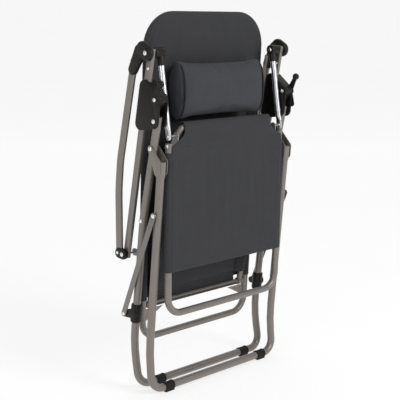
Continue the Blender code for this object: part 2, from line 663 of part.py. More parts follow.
def back():
    tall = (HEAD_BAR - BACK_BAR).length
    radius = FRAME_TUBE / 2
    loop = frame_loop(BACK_BAR, HEAD_BAR, BACK_HALF_WIDTH, HEAD_HALF_WIDTH, CORNER, HEAD_CORNER)
    frame = stand(tube(loop, radius, closed=True), BACK_BAR, HEAD_BAR)
    put(frame, "back_frame", "back", GREY_TUBE)

    crossbar = rod(SEAT_PIVOT, -BACK_INNER, BACK_INNER, CROSS_TUBE / 2, 1)
    put(crossbar, "back_cross_tube", "back", GREY_TUBE)

    half_foot = BACK_HALF_WIDTH + (HEAD_HALF_WIDTH - BACK_HALF_WIDTH) * BACK_CLOTH_FOOT / tall
    path = arch_points(half_foot, HEAD_HALF_WIDTH, BACK_CLOTH_FOOT, tall, HEAD_CORNER)
    outline = [(point.x, point.z) for point in path]
    cloth = sling([path], outline, radius, radius - FABRIC / 2, BACK_BAR, HEAD_BAR)
    combine(cloth, stand(tube(loop, radius + GAP, closed=True), BACK_BAR, HEAD_BAR), "DIFFERENCE")
    put(cloth, "back_cloth", "back", CHARCOAL_CLOTH)

    for name, sign in SIDES:
        gusset(name, sign)
        near = along(BACK_BAR, HEAD_BAR, ARM_REAR.y)
        ear = side_plate(hull(((ARM_REAR, BACK_PLATE_EYE), (near, BACK_PLATE_ROOT))),
                         PIVOT_PLATE_X, PIVOT_PLATE_X + SHEET, sign, ((ARM_REAR, PIN + RUNNING),))
        put(ear, f"back_pivot_plate_{name}", "back", GREY_TUBE)
    pillow()


def gusset(name, sign):
    """A triangular plate in the corner below the cross tube."""
    top = -(CROSS_TUBE / 2 + EYE_WALL + LINK_START - SIDE_PLAY)
    outline = ((sign * GUSSET_REACH, top), (sign * BACK_INNER, top),
               (sign * BACK_INNER, top - GUSSET_HEIGHT))
    plate = flat(outline if sign > 0 else outline[::-1], -BRACKET_SHEET / 2, BRACKET_SHEET / 2)
    plate.data.transform(Matrix.Rotation(math.pi / 2, 4, "X"))
    plate.location = at_x(0, SEAT_PIVOT)
    put(plate, f"back_gusset_{name}", "back", GREY_TUBE)


def pillow():
    """The head cushion, strapped to the front of the back."""
    near = along(BACK_BAR, HEAD_BAR, PILLOW_HIGH).x - FRAME_TUBE / 2 - FABRIC - PILLOW_GAP
    cushion = box((-PILLOW_HALF_WIDTH, near - PILLOW_DEPTH, PILLOW_LOW),
                  (PILLOW_HALF_WIDTH, near, PILLOW_HIGH))
    rounding = cushion.modifiers.new("rounding", "BEVEL")
    rounding.width = PILLOW_ROUND
    rounding.segments = 4
    put(cushion, "head_pillow", "back", PILLOW_CLOTH)


# ---- Seat and legrest ----------------------------------------------------------------------------
def seat():
    tall = (KNEE_BAR - SEAT_PIVOT).length
    radius = SEAT_TUBE / 2
    bottom = CROSS_TUBE / 2 + EYE_WALL / 2
    points = arch_points(SEAT_HALF_WIDTH, SEAT_HALF_WIDTH, bottom, tall, SEAT_CORNER)
    frame = stand(tube(points, radius), SEAT_PIVOT, KNEE_BAR)
    low, high = SEAT_HALF_WIDTH - EYE_WIDTH / 2, SEAT_HALF_WIDTH + EYE_WIDTH / 2
    for _, sign in SIDES:
        combine(frame, rod(SEAT_PIVOT, low, high, CROSS_TUBE / 2 + EYE_WALL, sign), "UNION")
    for _, sign in SIDES:
        bore(frame, SEAT_PIVOT, low, high, sign, CROSS_TUBE / 2 + RUNNING)
    put(frame, "seat_frame", "seat", GREY_TUBE)

    half, narrow = SEAT_HALF_WIDTH, SEAT_HALF_WIDTH - SEAT_BAR_INSET
    start, notch = SEAT_CLOTH_FOOT, tall - SEAT_NOTCH
    sides = [[Vector((sign * half, 0, start)), Vector((sign * half, 0, notch))] for _, sign in SIDES]
    sides.append([Vector((-narrow, 0, tall)), Vector((narrow, 0, tall))])
    outline = ((-half, start), (half, start), (half, notch), (narrow, notch + FABRIC),
               (narrow, tall), (-narrow, tall), (-narrow, notch + FABRIC), (-half, notch))
    cloth = sling(sides, outline, radius, 0.0, SEAT_PIVOT, KNEE_BAR)
    room = stand(tube(points, radius + GAP), SEAT_PIVOT, KNEE_BAR)
    combine(cloth, room, "DIFFERENCE")
    put(cloth, "seat_cloth", "seat", CHARCOAL_CLOTH)

    for name, sign in SIDES:
        root = along(SEAT_PIVOT, KNEE_BAR, KNEE_ROOT_HEIGHT)
        outline = hull(((KNEE, KNEE_EYE), (LINK_FOOT, STUB_EYE), (root, KNEE_ROOT)))
        plate = side_plate(outline, KNEE_PLATE_X, KNEE_PLATE_X + SHEET, sign,
                           ((KNEE, PIN + RUNNING),))
        stub_end = LINK_X - LINK_TUBE / 2 - SIDE_PLAY
        stub = rod(LINK_FOOT, KNEE_PLATE_X + SHEET / 2, stub_end, PIN, sign)
        combine(plate, stub, "UNION")
        put(plate, f"knee_plate_{name}", "seat", BRIGHT)


def legrest():
    tall = (KNEE - LEGREST_BAR).length
    radius = FRAME_TUBE / 2
    top = tall + LEGREST_END
    half = LEGREST_HALF_WIDTH
    points = rounded_path([Vector((half, 0, top)), Vector((half, 0, 0)),
                           Vector((-half, 0, 0)), Vector((-half, 0, top))], CORNER)
    frame = stand(tube(points, radius), LEGREST_BAR, KNEE)
    for _, sign in SIDES:
        bore(frame, KNEE, half - radius, half + radius, sign)
    put(frame, "legrest_frame", "legrest", GREY_TUBE)

    low, high, notch = LEGREST_CLOTH_FOOT, tall, tall - LEGREST_NOTCH
    narrow = SEAT_HALF_WIDTH - SEAT_TUBE / 2 - FABRIC
    loose = FABRIC / 4
    sides = [[Vector((sign * half, loose, low)), Vector((sign * half, loose, notch))]
             for _, sign in SIDES]
    outline = ((-half, low + FABRIC), (half, low + FABRIC), (half, notch - FABRIC),
               (narrow, notch), (narrow, high), (-narrow, high), (-narrow, notch),
               (-half, notch - FABRIC))
    cloth = sling(sides, outline, radius, -(radius - FABRIC), LEGREST_BAR, KNEE)
    combine(cloth, stand(tube(points, radius + GAP), LEGREST_BAR, KNEE), "DIFFERENCE")
    put(cloth, "legrest_cloth", "legrest", CHARCOAL_CLOTH)

    for name, sign in SIDES:
        outer = half + radius
        pivot = pin(KNEE, [(KNEE_PLATE_X, outer + GAP + HEAD_HEIGHT / 2, PIN),
                           (outer + GAP, outer + GAP + HEAD_HEIGHT, HEAD_RADIUS)], sign)
        put(pivot, f"knee_pin_{name}", "legrest", CHROME)


front_links()
arms()
back()
seat()
legrest()
locks()
rear_leg()
front_leg()
braces_and_collars()
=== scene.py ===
import json
import math

import bmesh
import bpy
from mathutils import Matrix, Vector, noise

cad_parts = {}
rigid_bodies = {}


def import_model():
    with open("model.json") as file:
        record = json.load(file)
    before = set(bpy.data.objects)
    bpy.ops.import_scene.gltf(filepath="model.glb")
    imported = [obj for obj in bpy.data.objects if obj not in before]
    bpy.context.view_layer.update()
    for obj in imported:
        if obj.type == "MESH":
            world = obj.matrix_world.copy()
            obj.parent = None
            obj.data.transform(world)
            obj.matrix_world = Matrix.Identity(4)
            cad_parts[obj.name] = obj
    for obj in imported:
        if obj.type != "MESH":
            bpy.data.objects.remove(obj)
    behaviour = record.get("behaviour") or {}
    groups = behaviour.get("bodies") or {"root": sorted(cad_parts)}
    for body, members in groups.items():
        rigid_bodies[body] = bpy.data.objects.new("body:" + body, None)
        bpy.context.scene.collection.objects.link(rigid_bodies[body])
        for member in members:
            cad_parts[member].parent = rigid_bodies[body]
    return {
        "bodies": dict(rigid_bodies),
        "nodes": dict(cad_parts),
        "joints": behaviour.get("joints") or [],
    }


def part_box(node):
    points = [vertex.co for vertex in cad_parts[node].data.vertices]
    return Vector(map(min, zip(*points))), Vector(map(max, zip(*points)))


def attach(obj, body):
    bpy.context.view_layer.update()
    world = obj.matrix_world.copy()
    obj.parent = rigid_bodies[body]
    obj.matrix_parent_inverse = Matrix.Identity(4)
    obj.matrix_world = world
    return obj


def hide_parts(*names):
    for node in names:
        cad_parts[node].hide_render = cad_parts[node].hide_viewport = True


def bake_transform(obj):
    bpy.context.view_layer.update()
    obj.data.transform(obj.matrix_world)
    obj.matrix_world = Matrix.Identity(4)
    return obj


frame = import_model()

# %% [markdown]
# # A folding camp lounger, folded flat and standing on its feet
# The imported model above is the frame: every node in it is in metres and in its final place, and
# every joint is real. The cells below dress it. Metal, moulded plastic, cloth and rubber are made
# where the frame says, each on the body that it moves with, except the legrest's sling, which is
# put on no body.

framed = set(frame["nodes"].values()) | set(frame["bodies"].values())
for left_over in [each for each in bpy.data.objects if each not in framed]:
    bpy.data.objects.remove(left_over, do_unlink=True)
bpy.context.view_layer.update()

# %% [markdown]
# ## Camera
# A long lens looks from the chair's right front corner, at about the height of its top, and
# slightly down. The camera is made first, so that every later step can be looked at.

# %% Camera
CAMERA_TURN, CAMERA_DIP = math.radians(43.86), math.radians(9.26)
lens = bpy.data.cameras.new("camera")
lens.lens, lens.sensor_width, lens.shift_y = 85.9, 36, -0.05
camera = bpy.data.objects.new("camera", lens)
camera.location = (-2.147, -2.196, 1.151)
camera.rotation_euler = (math.pi / 2 - CAMERA_DIP, 0, -CAMERA_TURN)
bpy.context.scene.collection.objects.link(camera)
bpy.context.scene.camera = camera
bpy.context.scene.view_settings.view_transform = "Standard"
print("camera", lens.lens, "mm")

# %% [markdown]
# ## Shader helpers
# A material is a net of nodes. `Value` wraps one output socket, so shader maths reads as plain
# Python: `1 - mask` adds a Math node. `Finish` starts a Principled material and adds any other
# node through one method.

# %% Shader helpers
class Value:
    """An output socket on which Python's operators add Math nodes."""

    def __init__(self, tree, socket):
        self.tree, self.socket = tree, socket

    def math(self, operation, *others, turned=False):
        node = self.tree.nodes.new("ShaderNodeMath")
        node.operation = operation
        terms = [self, *others]
        for slot, term in zip(node.inputs, terms[::-1] if turned else terms):
            if isinstance(term, Value):
                self.tree.links.new(term.socket, slot)
            else:
                slot.default_value = term
        return Value(self.tree, node.outputs[0])

    def __add__(self, other):
        return self.math("ADD", other)

    def __sub__(self, other):
        return self.math("SUBTRACT", other)

    def __rsub__(self, other):
        return self.math("SUBTRACT", other, turned=True)

    def __mul__(self, other):
        return self.math("MULTIPLY", other)

    def __abs__(self):
        return self.math("ABSOLUTE")

    __radd__, __rmul__ = __add__, __mul__

    def wave(self, pitch):
        """A sine of this pitch in metres, from -1 to 1."""
        return (self * (2 * math.pi / pitch)).math("SINE")

    def within(self, width):
        """1 where the value is nearer to zero than this width, else 0."""
        return abs(self).math("LESS_THAN", width)


class Finish:
    """A Principled material whose constants are set on the shader's own sockets."""

    def __init__(self, name, **constants):
        self.material = bpy.data.materials.new(name)
        self.material.use_nodes = True
        self.tree = self.material.node_tree
        self.shader = self.tree.nodes["Principled BSDF"]
        self.set(self.shader, {key.replace("_", " "): given for key, given in constants.items()})

    def set(self, node, inputs):
        for key, given in inputs.items():
            if isinstance(given, Value):
                self.tree.links.new(given.socket, node.inputs[key])
            elif isinstance(given, tuple) and node.inputs[key].type == "RGBA":
                node.inputs[key].default_value = (*given, 1.0)
            else:
                node.inputs[key].default_value = given

    def node(self, kind, settings, inputs, output=0):
        made = self.tree.nodes.new(kind)
        for key, given in settings.items():
            setattr(made, key, given)
        self.set(made, inputs)
        return Value(self.tree, made.outputs[output])

    def place(self, stretch=(1, 1, 1)):
        """Object coordinates in metres, stretched for a pattern with a direction."""
        spot = self.node("ShaderNodeTexCoord", {}, {}, "Object")
        return self.node("ShaderNodeMapping", {}, {"Vector": spot, "Scale": stretch})

    def noise(self, where, scale, detail=3.0):
        return self.node("ShaderNodeTexNoise", {},
                         {"Vector": where, "Scale": scale, "Detail": detail}, "Fac")

    def blend(self, share, first, second):
        """A colour between two others; a Mix node's colour sockets are numbers 6 and 7."""
        made = self.tree.nodes.new("ShaderNodeMix")
        made.data_type = "RGBA"
        self.set(made, {0: share, 6: first, 7: second})
        return Value(self.tree, made.outputs[2])

    def bump(self, height, distance, strength, under=None):
        inputs = {"Height": height, "Distance": distance, "Strength": strength}
        return self.node("ShaderNodeBump", {}, inputs | ({"Normal": under} if under else {}))

    def wear(self, colour, roughness, normal=None):
        self.set(self.shader, {"Base Color": colour, "Roughness": roughness}
                 | ({"Normal": normal} if normal else {}))
        return self.material


print("shader helpers ready")

# %% [markdown]
# ## Metals
# The frame is steel tube under a warm grey lacquer with a fine metallic flake. The flake is a
# very fine noise in the colour, and the lacquer's slight orange peel a coarser one in the bump.
# The front links are bare drawn aluminium, with faint lines along their length.

# %% Metals
def lacquer(name, light, dark, roughness, metallic):
    made = Finish(name, Metallic=metallic, Coat_Weight=0.25, Coat_Roughness=0.18)
    where = made.place()
    flake = made.noise(where, 2600, 1.0)
    cloud = made.noise(where, 18)
    peel = made.noise(where, 420, 2.0)
    share = flake * 0.55 + cloud * 0.45
    return made.wear(made.blend(share, dark, light), roughness - 0.06 + cloud * 0.12,
                     made.bump(peel, 0.0004, 0.12))


def bare_metal(name, colour, roughness, stretch):
    made = Finish(name, Metallic=1.0)
    lines = made.noise(made.place(stretch), 900, 2.0)
    cloud = made.noise(made.place(), 30)
    shade = tuple(part * 0.8 for part in colour)
    return made.wear(made.blend(lines * 0.5 + cloud * 0.5, shade, colour),
                     roughness + lines * 0.1, made.bump(lines, 0.0002, 0.15))


GREY_TUBE = lacquer("warm_grey_lacquer", (0.240, 0.219, 0.202), (0.155, 0.140, 0.129), 0.38, 0.45)
BRIGHT = bare_metal("drawn_aluminium", (0.74, 0.75, 0.77), 0.26, (1, 1, 0.03))
ZINC = bare_metal("zinc_plated_steel", (0.42, 0.42, 0.41), 0.34, (1, 1, 1))
CHROME = bare_metal("bright_rivet_steel", (0.90, 0.90, 0.89), 0.10, (1, 1, 1))
print("metals", GREY_TUBE.name, BRIGHT.name, ZINC.name, CHROME.name)

# %% [markdown]
# ## Plastic and rubber
# The moulded ends and locks are black nylon with a fine spark-eroded grain and a soft gloss.
# The feet are rubber: darker in the pores, dull, with a coarser skin.

# %% Plastic and rubber
def moulded(name, light, dark, roughness, grain, depth):
    made = Finish(name, Specular_IOR_Level=0.22)
    where = made.place()
    skin = made.noise(where, grain, 2.0)
    scuff = made.noise(where, 45)
    return made.wear(made.blend(scuff * 0.7 + skin * 0.3, dark, light),
                     roughness - 0.08 + scuff * 0.16, made.bump(skin, depth, 0.25))


PLASTIC = moulded("black_nylon", (0.0150, 0.0128, 0.0112), (0.0060, 0.0052, 0.0046), 0.40, 1500, 0.0003)
RUBBER = moulded("black_rubber", (0.0150, 0.0135, 0.0125), (0.0060, 0.0055, 0.0050), 0.68, 700, 0.0006)
print("moulded", PLASTIC.name, RUBBER.name)

# %% [markdown]
# ## Cloth
# The sling is a plain weave of thick polyester yarn. Its pieces carry a UV map in metres, across
# and along the cut, so the yarns run straight with the cloth and turn with it round the tubes.
# Two sines crossed give the over and under, long thin noises give slubs in each yarn direction,
# and a seam is a furrow, darkened in colour as painted shade, with a dashed thread in it.

# %% Cloth
YARN = 0.0013
STITCH_PITCH, STITCH_HALF, GROOVE_HALF = 0.0055, 0.0005, 0.0014


def woven(name, light, dark, across=(), along=(), mapped=True):
    """across: distances of the seams from the middle line; along: their places up the cut."""
    made = Finish(name, Sheen_Weight=0.05, Specular_IOR_Level=0.2, Sheen_Roughness=0.5)
    source = made.node("ShaderNodeUVMap", {}, {}) if mapped else made.place()
    parts = made.tree.nodes.new("ShaderNodeSeparateXYZ")
    made.set(parts, {0: source})
    u = Value(made.tree, parts.outputs[0])
    v = Value(made.tree, parts.outputs[1 if mapped else 2])
    over = u.wave(YARN) * v.wave(YARN)
    slubs = []
    for stretch in ((520, 9, 9), (9, 520, 520)):
        drawn = made.node("ShaderNodeMapping", {}, {"Vector": source, "Scale": stretch})
        slubs.append(made.noise(drawn, 1.0, 2.0))
    cloud = made.noise(source, 11)
    tone = slubs[0] * 0.35 + slubs[1] * 0.35 + cloud * 0.2 + over * 0.14
    colour = made.blend(tone, dark, light)
    height = over * 0.5 + slubs[0] * 0.5 + slubs[1] * 0.5
    normal = made.bump(height, 0.0005, 0.45)
    seams = ([(abs(u) - spot, v) for spot in across] + [(v - spot, u) for spot in along])
    for off, run in seams:
        thread = off.within(STITCH_HALF) * run.wave(STITCH_PITCH).math("GREATER_THAN", -0.35)
        groove_and_painted_shade = off.within(GROOVE_HALF)
        # painted shade: the colour is darkened along the seam's sunk line
        colour = made.blend(groove_and_painted_shade * 0.45, colour, tuple(part * 0.4 for part in dark))
        colour = made.blend(thread * 0.8, colour, tuple(part * 2.2 for part in light))
        normal = made.bump(thread - groove_and_painted_shade, 0.0006, 0.8, normal)
    return made.wear(colour, 0.80 + slubs[0] * 0.12, normal)


LIGHT_YARN, DARK_YARN = (0.060, 0.061, 0.065), (0.021, 0.021, 0.023)
PILLOW_CLOTH = woven("pillow_weave", (0.070, 0.072, 0.080), (0.030, 0.031, 0.036), mapped=False)
PIPING = moulded("piping_cord", (0.026, 0.026, 0.028), (0.010, 0.010, 0.012), 0.8, 900, 0.0005)
print("cloth", PILLOW_CLOTH.name, PIPING.name)

# %% [markdown]
# ## Making a piece
# Every piece is drawn in a bmesh, in its place, and handed to `piece`, which gives it a mesh, a
# finish and the body that it rides on. Its object stays at the origin, as a CAD node's does.

# %% Making a piece
SIDES = (("right", -1), ("left", 1))
CREASE = math.radians(32)


def stood_up(name, form, finish):
    """A new object in the scene from what the form holds."""
    mesh = bpy.data.meshes.new(name)
    form.to_mesh(mesh)
    form.free()
    mesh.materials.append(finish)
    made = bpy.data.objects.new(name, mesh)
    bpy.context.scene.collection.objects.link(made)
    return made


def piece(name, form, finish, body, stands_for=()):
    bmesh.ops.remove_doubles(form, verts=form.verts, dist=1e-6)
    bmesh.ops.recalc_face_normals(form, faces=form.faces)
    made = stood_up(name, form, finish)
    made.data.shade_smooth()
    made.data.set_sharp_from_angle(angle=CREASE)
    if body:
        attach(made, body)
    if stands_for:
        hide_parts(*stands_for)
    return made


def sided(name, label, form, finish, body, *nodes):
    """A piece of one side: its name and the nodes that it stands for end in that side's name."""
    return piece(f"{label}_{name}", form, finish, body, [f"{node}_{name}" for node in nodes])


def side(y, z):
    """A point of the side view."""
    return Vector((y, z))


def at_x(x, spot):
    return Vector((x, spot.x, spot.y))


def along(lower, upper, height):
    """The side-view point at this height on the line from lower to upper."""
    return lower.lerp(upper, (height - lower.y) / (upper.y - lower.y))


def pivot(joint):
    """The side-view point of a joint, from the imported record."""
    found = next(each for each in frame["joints"] if each["name"] == joint)
    return side(*found["pos_m"][1:])


FRONT_PIVOT, ARM_REAR = pivot("arm_unfold"), pivot("back_recline")
SEAT_PIVOT, KNEE = pivot("seat_unfold"), pivot("legrest_unfold")
LEG_TOP, LEG_HINGE = pivot("leg_tilt"), pivot("leg_spread")
BRACE_TOP, LEVER_PIVOT = pivot("brace_swing"), pivot("lever_left_pull")
print("pivots read from the record:", FRONT_PIVOT, KNEE)

# %% [markdown]
# ## Bent tubes
# A tube is made as on a tube bender: a ring is pushed along a straight run by extruding its
# edges, then spun about the centre of each bend. The ring may be squeezed into an oval or a
# rounded bar for the flattened tubes.

# %% Bent tubes
BEND_STEP = math.radians(6)
TUBE_SIDES = 28


def push(form, edges, step):
    """Extrudes a ring of edges by this step and returns the new ring."""
    made = bmesh.ops.extrude_edge_only(form, edges=edges)["geom"]
    new = {each for each in made if isinstance(each, bmesh.types.BMVert)}
    bmesh.ops.translate(form, verts=list(new), vec=step)
    return [each for each in made if isinstance(each, bmesh.types.BMEdge) and set(each.verts) <= new]


def squeeze(verts, wide, thick, square):
    """Turns a ring of radius 1 into a rounded bar, thick along X and wide along Y."""
    for vert in verts:
        turn = math.atan2(vert.co.y, vert.co.x)
        for axis, size, share in ((0, thick, math.cos(turn)), (1, wide, math.sin(turn))):
            vert.co[axis] = math.copysign(abs(share) ** (2 / square), share) * size / 2


def bent_tube(corners, bends, wide, thick=None, square=2.0, closed=False, form=None):
    form = form or bmesh.new()
    ring = bmesh.ops.create_circle(form, segments=TUBE_SIDES, radius=1.0)["verts"]
    squeeze(ring, wide, thick or wide, square)
    ahead = (corners[1] - corners[0]).normalized()
    turn = ahead.to_track_quat("Z", "Y").to_matrix().to_4x4()
    bmesh.ops.transform(form, verts=ring, matrix=Matrix.Translation(corners[0]) @ turn)
    edges = list({edge for vert in ring for edge in vert.link_edges})
    first, spot = edges, corners[0]
    for corner, after, bend in zip(corners[1:], corners[2:], bends):
        leave = (after - corner).normalized()
        angle = ahead.angle(leave)
        reach = bend * math.tan(angle / 2)
        edges = push(form, edges, corner - ahead * reach - spot)
        inward = (leave - ahead).normalized()
        centre = corner + inward * (bend / math.cos(angle / 2))
        made = bmesh.ops.spin(form, geom=edges, cent=centre, axis=ahead.cross(leave), angle=angle,
                              dvec=(0, 0, 0), steps=max(2, math.ceil(angle / BEND_STEP)))
        edges = [each for each in made["geom_last"] if isinstance(each, bmesh.types.BMEdge)]
        spot, ahead = corner + leave * reach, leave
    last = push(form, edges, corners[-1] - spot)
    if not closed:
        bmesh.ops.edgeloop_fill(form, edges=first)
        bmesh.ops.edgeloop_fill(form, edges=last)
    return form


print("tube bender ready")

# %% [markdown]
# ## The two legs
# Each leg is one tube bent into a U with the floor bar at the bottom. Both are equally wide, and
# the front leg stands just in front of the rear one while the chair is folded.

# %% The two legs
LEG_HALF_WIDTH, LEG_TUBE = 0.280, 0.025
LEG_CORNER = 0.044
REAR_STOP, REAR_BEND, REAR_FOOT = side(-0.002, 0.556), side(0.050, 0.150), side(0.026, 0.0155)
FRONT_TOP, FRONT_BEND = side(-0.087, 0.745), side(-0.025, 0.130)
FRONT_FOOT = side(-0.037, 0.0155)
REAR_TOP = LEG_TOP + (LEG_TOP - REAR_STOP).normalized() * 0.014


def leg(name, spots, bends, body):
    path = [at_x(-LEG_HALF_WIDTH, spot) for spot in spots]
    path += [at_x(LEG_HALF_WIDTH, spot) for spot in reversed(spots)]
    form = bent_tube(path, bends + [LEG_CORNER, LEG_CORNER] + bends[::-1], LEG_TUBE)
    return piece(name, form, GREY_TUBE, body, [name.replace("_tube", "_frame")])


rear_leg = leg("rear_leg_tube", [REAR_TOP, REAR_STOP, REAR_BEND, REAR_FOOT], [0.25, 0.38], "rear_leg")
front_leg = leg("front_leg_tube", [FRONT_TOP, FRONT_BEND, FRONT_FOOT], [0.50], "front_leg")
print("legs", len(rear_leg.data.polygons), len(front_leg.data.polygons), "faces")

# %% [markdown]
# ## The back, seat and legrest frames
# The back is one closed loop, wider at the headrest; the seat is an arch with the knee bar at its
# top and an eye at each foot that turns on the back's cross tube; the legrest is a U.

# %% The back, seat and legrest frames
BACK_HALF, HEAD_HALF, SEAT_HALF, LEGREST_HALF = 0.2345, 0.246, 0.2065, 0.2465
FRAME_TUBE, SEAT_TUBE, CROSS_TUBE = 0.022, 0.020, 0.016
FRAME_CORNER, HEAD_CORNER, SEAT_CORNER = 0.055, 0.100, 0.035
BACK_BAR, HEAD_BAR = side(0.063, 0.152), side(0.008, 1.179)
KNEE_BAR, LEGREST_BAR = side(-0.082, 0.846), side(-0.075, 0.262)
middle = at_x(0, BACK_BAR)
loop = [middle, at_x(BACK_HALF, BACK_BAR), at_x(HEAD_HALF, HEAD_BAR),
        at_x(-HEAD_HALF, HEAD_BAR), at_x(-BACK_HALF, BACK_BAR), middle]
back = bent_tube(loop, [FRAME_CORNER, HEAD_CORNER, HEAD_CORNER, FRAME_CORNER], FRAME_TUBE, closed=True)
piece("back_tube", back, GREY_TUBE, "back", ["back_frame"])

EYE_HALF, EYE_RADIUS = 0.010, 0.0122
seat_foot = along(SEAT_PIVOT, KNEE_BAR, SEAT_PIVOT.y + 0.010)
arch = [at_x(SEAT_HALF, seat_foot), at_x(SEAT_HALF, KNEE_BAR),
        at_x(-SEAT_HALF, KNEE_BAR), at_x(-SEAT_HALF, seat_foot)]
seat = bent_tube(arch, [SEAT_CORNER, SEAT_CORNER], SEAT_TUBE)
for _, sign in SIDES:
    eye = [at_x(sign * SEAT_HALF + end, SEAT_PIVOT) for end in (-EYE_HALF, EYE_HALF)]
    bent_tube(eye, [], 2 * EYE_RADIUS, form=seat)
piece("seat_tube", seat, GREY_TUBE, "seat", ["seat_frame"])

legrest_top = KNEE + (KNEE - LEGREST_BAR).normalized() * 0.009
hoop = [at_x(LEGREST_HALF, legrest_top), at_x(LEGREST_HALF, LEGREST_BAR),
        at_x(-LEGREST_HALF, LEGREST_BAR), at_x(-LEGREST_HALF, legrest_top)]
legrest = bent_tube(hoop, [FRAME_CORNER, FRAME_CORNER], FRAME_TUBE)
piece("legrest_tube", legrest, GREY_TUBE, "legrest", ["legrest_frame"])

cross_half = BACK_HALF - FRAME_TUBE / 2
cross = bent_tube([at_x(end * cross_half, SEAT_PIVOT) for end in (-1, 1)], [], CROSS_TUBE)
piece("back_crossbar", cross, GREY_TUBE, "back", ["back_cross_tube"])
print("frames made")

# %% [markdown]
# ## Front links
# Each link is a straight bright tube. Its lower end is flattened in a press and rounded off, to
# take the rivet, so the ring is squeezed as it is pushed on.

# %% Front links
LINK_X, LINK_TUBE = 0.2488, 0.018
LINK_FOOT = side(-0.085, 0.820)
link_line = (LINK_FOOT - FRONT_PIVOT).normalized()


def front_link(name, sign):
    start, crimp = FRONT_PIVOT + link_line * 0.017, LINK_FOOT - link_line * 0.030
    form = bent_tube([at_x(sign * LINK_X, spot) for spot in (start, crimp)], [], LINK_TUBE)
    cap = min(form.faces, key=lambda face: face.calc_center_median().z)
    edges, centre = list(cap.edges), at_x(sign * LINK_X, crimp)
    bmesh.ops.delete(form, geom=[cap], context="FACES_ONLY")
    for step, thin, wide in ((0.008, 0.70, 1.10), (0.008, 0.60, 1.12), (0.016, 1.0, 1.0),
                             (0.006, 1.0, 0.84), (0.004, 1.0, 0.6)):
        edges = push(form, edges, at_x(0, link_line * step))
        centre += at_x(0, link_line * step)
        verts = list({vert for edge in edges for vert in edge.verts})
        bmesh.ops.scale(form, verts=verts, vec=(thin, wide, 1), space=Matrix.Translation(-centre))
    bmesh.ops.edgeloop_fill(form, edges=edges)
    return sided(name, "front_link_bar", form, BRIGHT, "front_links", "front_link", "link_eye")


for name, sign in SIDES:
    print("link", len(front_link(name, sign).data.polygons), "faces")

# %% [markdown]
# ## Arm tubes and slide rails
# The arm tube is flattened and arches away from the rail beside it, a straight rounded bar that
# the locks slide on.

# %% Arm tubes and slide rails
RAIL_TOP = side(-0.051, 1.070)
ARM_BENDS = [side(0.011, 1.046), side(0.083, 0.735), side(0.093, 0.640), side(0.093, 0.448)]
ARM_X, RAIL_X = 0.298, 0.284
ARM_RADII, ARM_SECTION = [0.30, 0.45], (0.028, 0.013, 3.2)
RAIL_SECTION, RAIL_PAST = (0.024, 0.014, 5.0), 0.011
rail_line = (RAIL_TOP - ARM_REAR).normalized()
for name, sign in SIDES:
    arm = bent_tube([at_x(sign * ARM_X, spot) for spot in ARM_BENDS], ARM_RADII, *ARM_SECTION)
    sided(name, "arm_bow", arm, GREY_TUBE, "arms", "arm_tube")
    ends = (ARM_REAR - rail_line * RAIL_PAST, RAIL_TOP + rail_line * RAIL_PAST)
    rail = bent_tube([at_x(sign * RAIL_X, spot) for spot in ends], [], *RAIL_SECTION)
    sided(name, "rail_bar", rail, GREY_TUBE, "arms", "slide_rail")
print("arms and rails made")

# %% [markdown]
# ## Moulded blocks and pressed plates
# A moulding seen from the side is a few circles with a rubber band round them. The circles are
# drawn at both faces, `convex_hull` puts the band on, flat faces are merged and the rims are
# bevelled. Pressed steel plates are the same thing, only thinner.

# %% Moulded blocks and pressed plates
ROUND_SIDES, RIM_STEPS, LATHE_STEPS = 48, 3, 32
FLAT, RIM = math.radians(1), math.radians(60)


def block(circles, low, high, edge, form=None):
    """A block round side-view circles, ((y, z), radius), between two places across the chair."""
    form = form or bmesh.new()
    before = set(form.verts)
    for x in (low, high):
        for spot, radius in circles:
            facing = Matrix.Translation(at_x(x, spot)) @ Matrix.Rotation(math.pi / 2, 4, "Y")
            bmesh.ops.create_circle(form, segments=ROUND_SIDES, radius=radius, matrix=facing)
    bmesh.ops.convex_hull(form, input=[vert for vert in form.verts if vert not in before])
    loose = [each for each in form.edges if not each.link_faces]
    bmesh.ops.delete(form, geom=loose, context="EDGES")
    loose = [vert for vert in form.verts if not vert.link_edges]
    bmesh.ops.delete(form, geom=loose, context="VERTS")
    verts = [vert for vert in form.verts if vert not in before]
    edges = list({each for vert in verts for each in vert.link_edges})
    bmesh.ops.dissolve_limit(form, angle_limit=FLAT, verts=verts, edges=edges)
    verts = [vert for vert in form.verts if vert not in before]
    rims = [each for each in {each for vert in verts for each in vert.link_edges}
            if len(each.link_faces) == 2 and each.calc_face_angle() > RIM]
    bmesh.ops.bevel(form, geom=rims, offset=edge, offset_type="OFFSET", affect="EDGES",
                    segments=RIM_STEPS, profile=0.5, material=-1)
    return form


def turned(profile, spot, axis):
    """A piece off the lathe: (place along its axis, radius) points spun about the axis."""
    form = bmesh.new()
    verts = [form.verts.new((place, 0, radius)) for place, radius in profile]
    edges = [form.edges.new(pair) for pair in zip(verts, verts[1:])]
    bmesh.ops.spin(form, geom=verts + edges, cent=(0, 0, 0), axis=(1, 0, 0), angle=2 * math.pi,
                   dvec=(0, 0, 0), steps=LATHE_STEPS, use_merge=True)
    turn = axis.to_track_quat("X", "Z").to_matrix().to_4x4()
    bmesh.ops.transform(form, verts=form.verts, matrix=Matrix.Translation(spot) @ turn)
    return form


def mirrored(half):
    """A lathe profile that is the same both ways, from its half past the middle."""
    return [(-place, radius) for place, radius in reversed(half)] + list(half)


print("presses ready")

# %% [markdown]
# ## Grips, rear caps and link knuckles
# The arm's front end is a rounded grip that also carries the front pivot. The rear cap closes the
# other end. The knuckle is the boss on top of each link, with a socket for its tube.

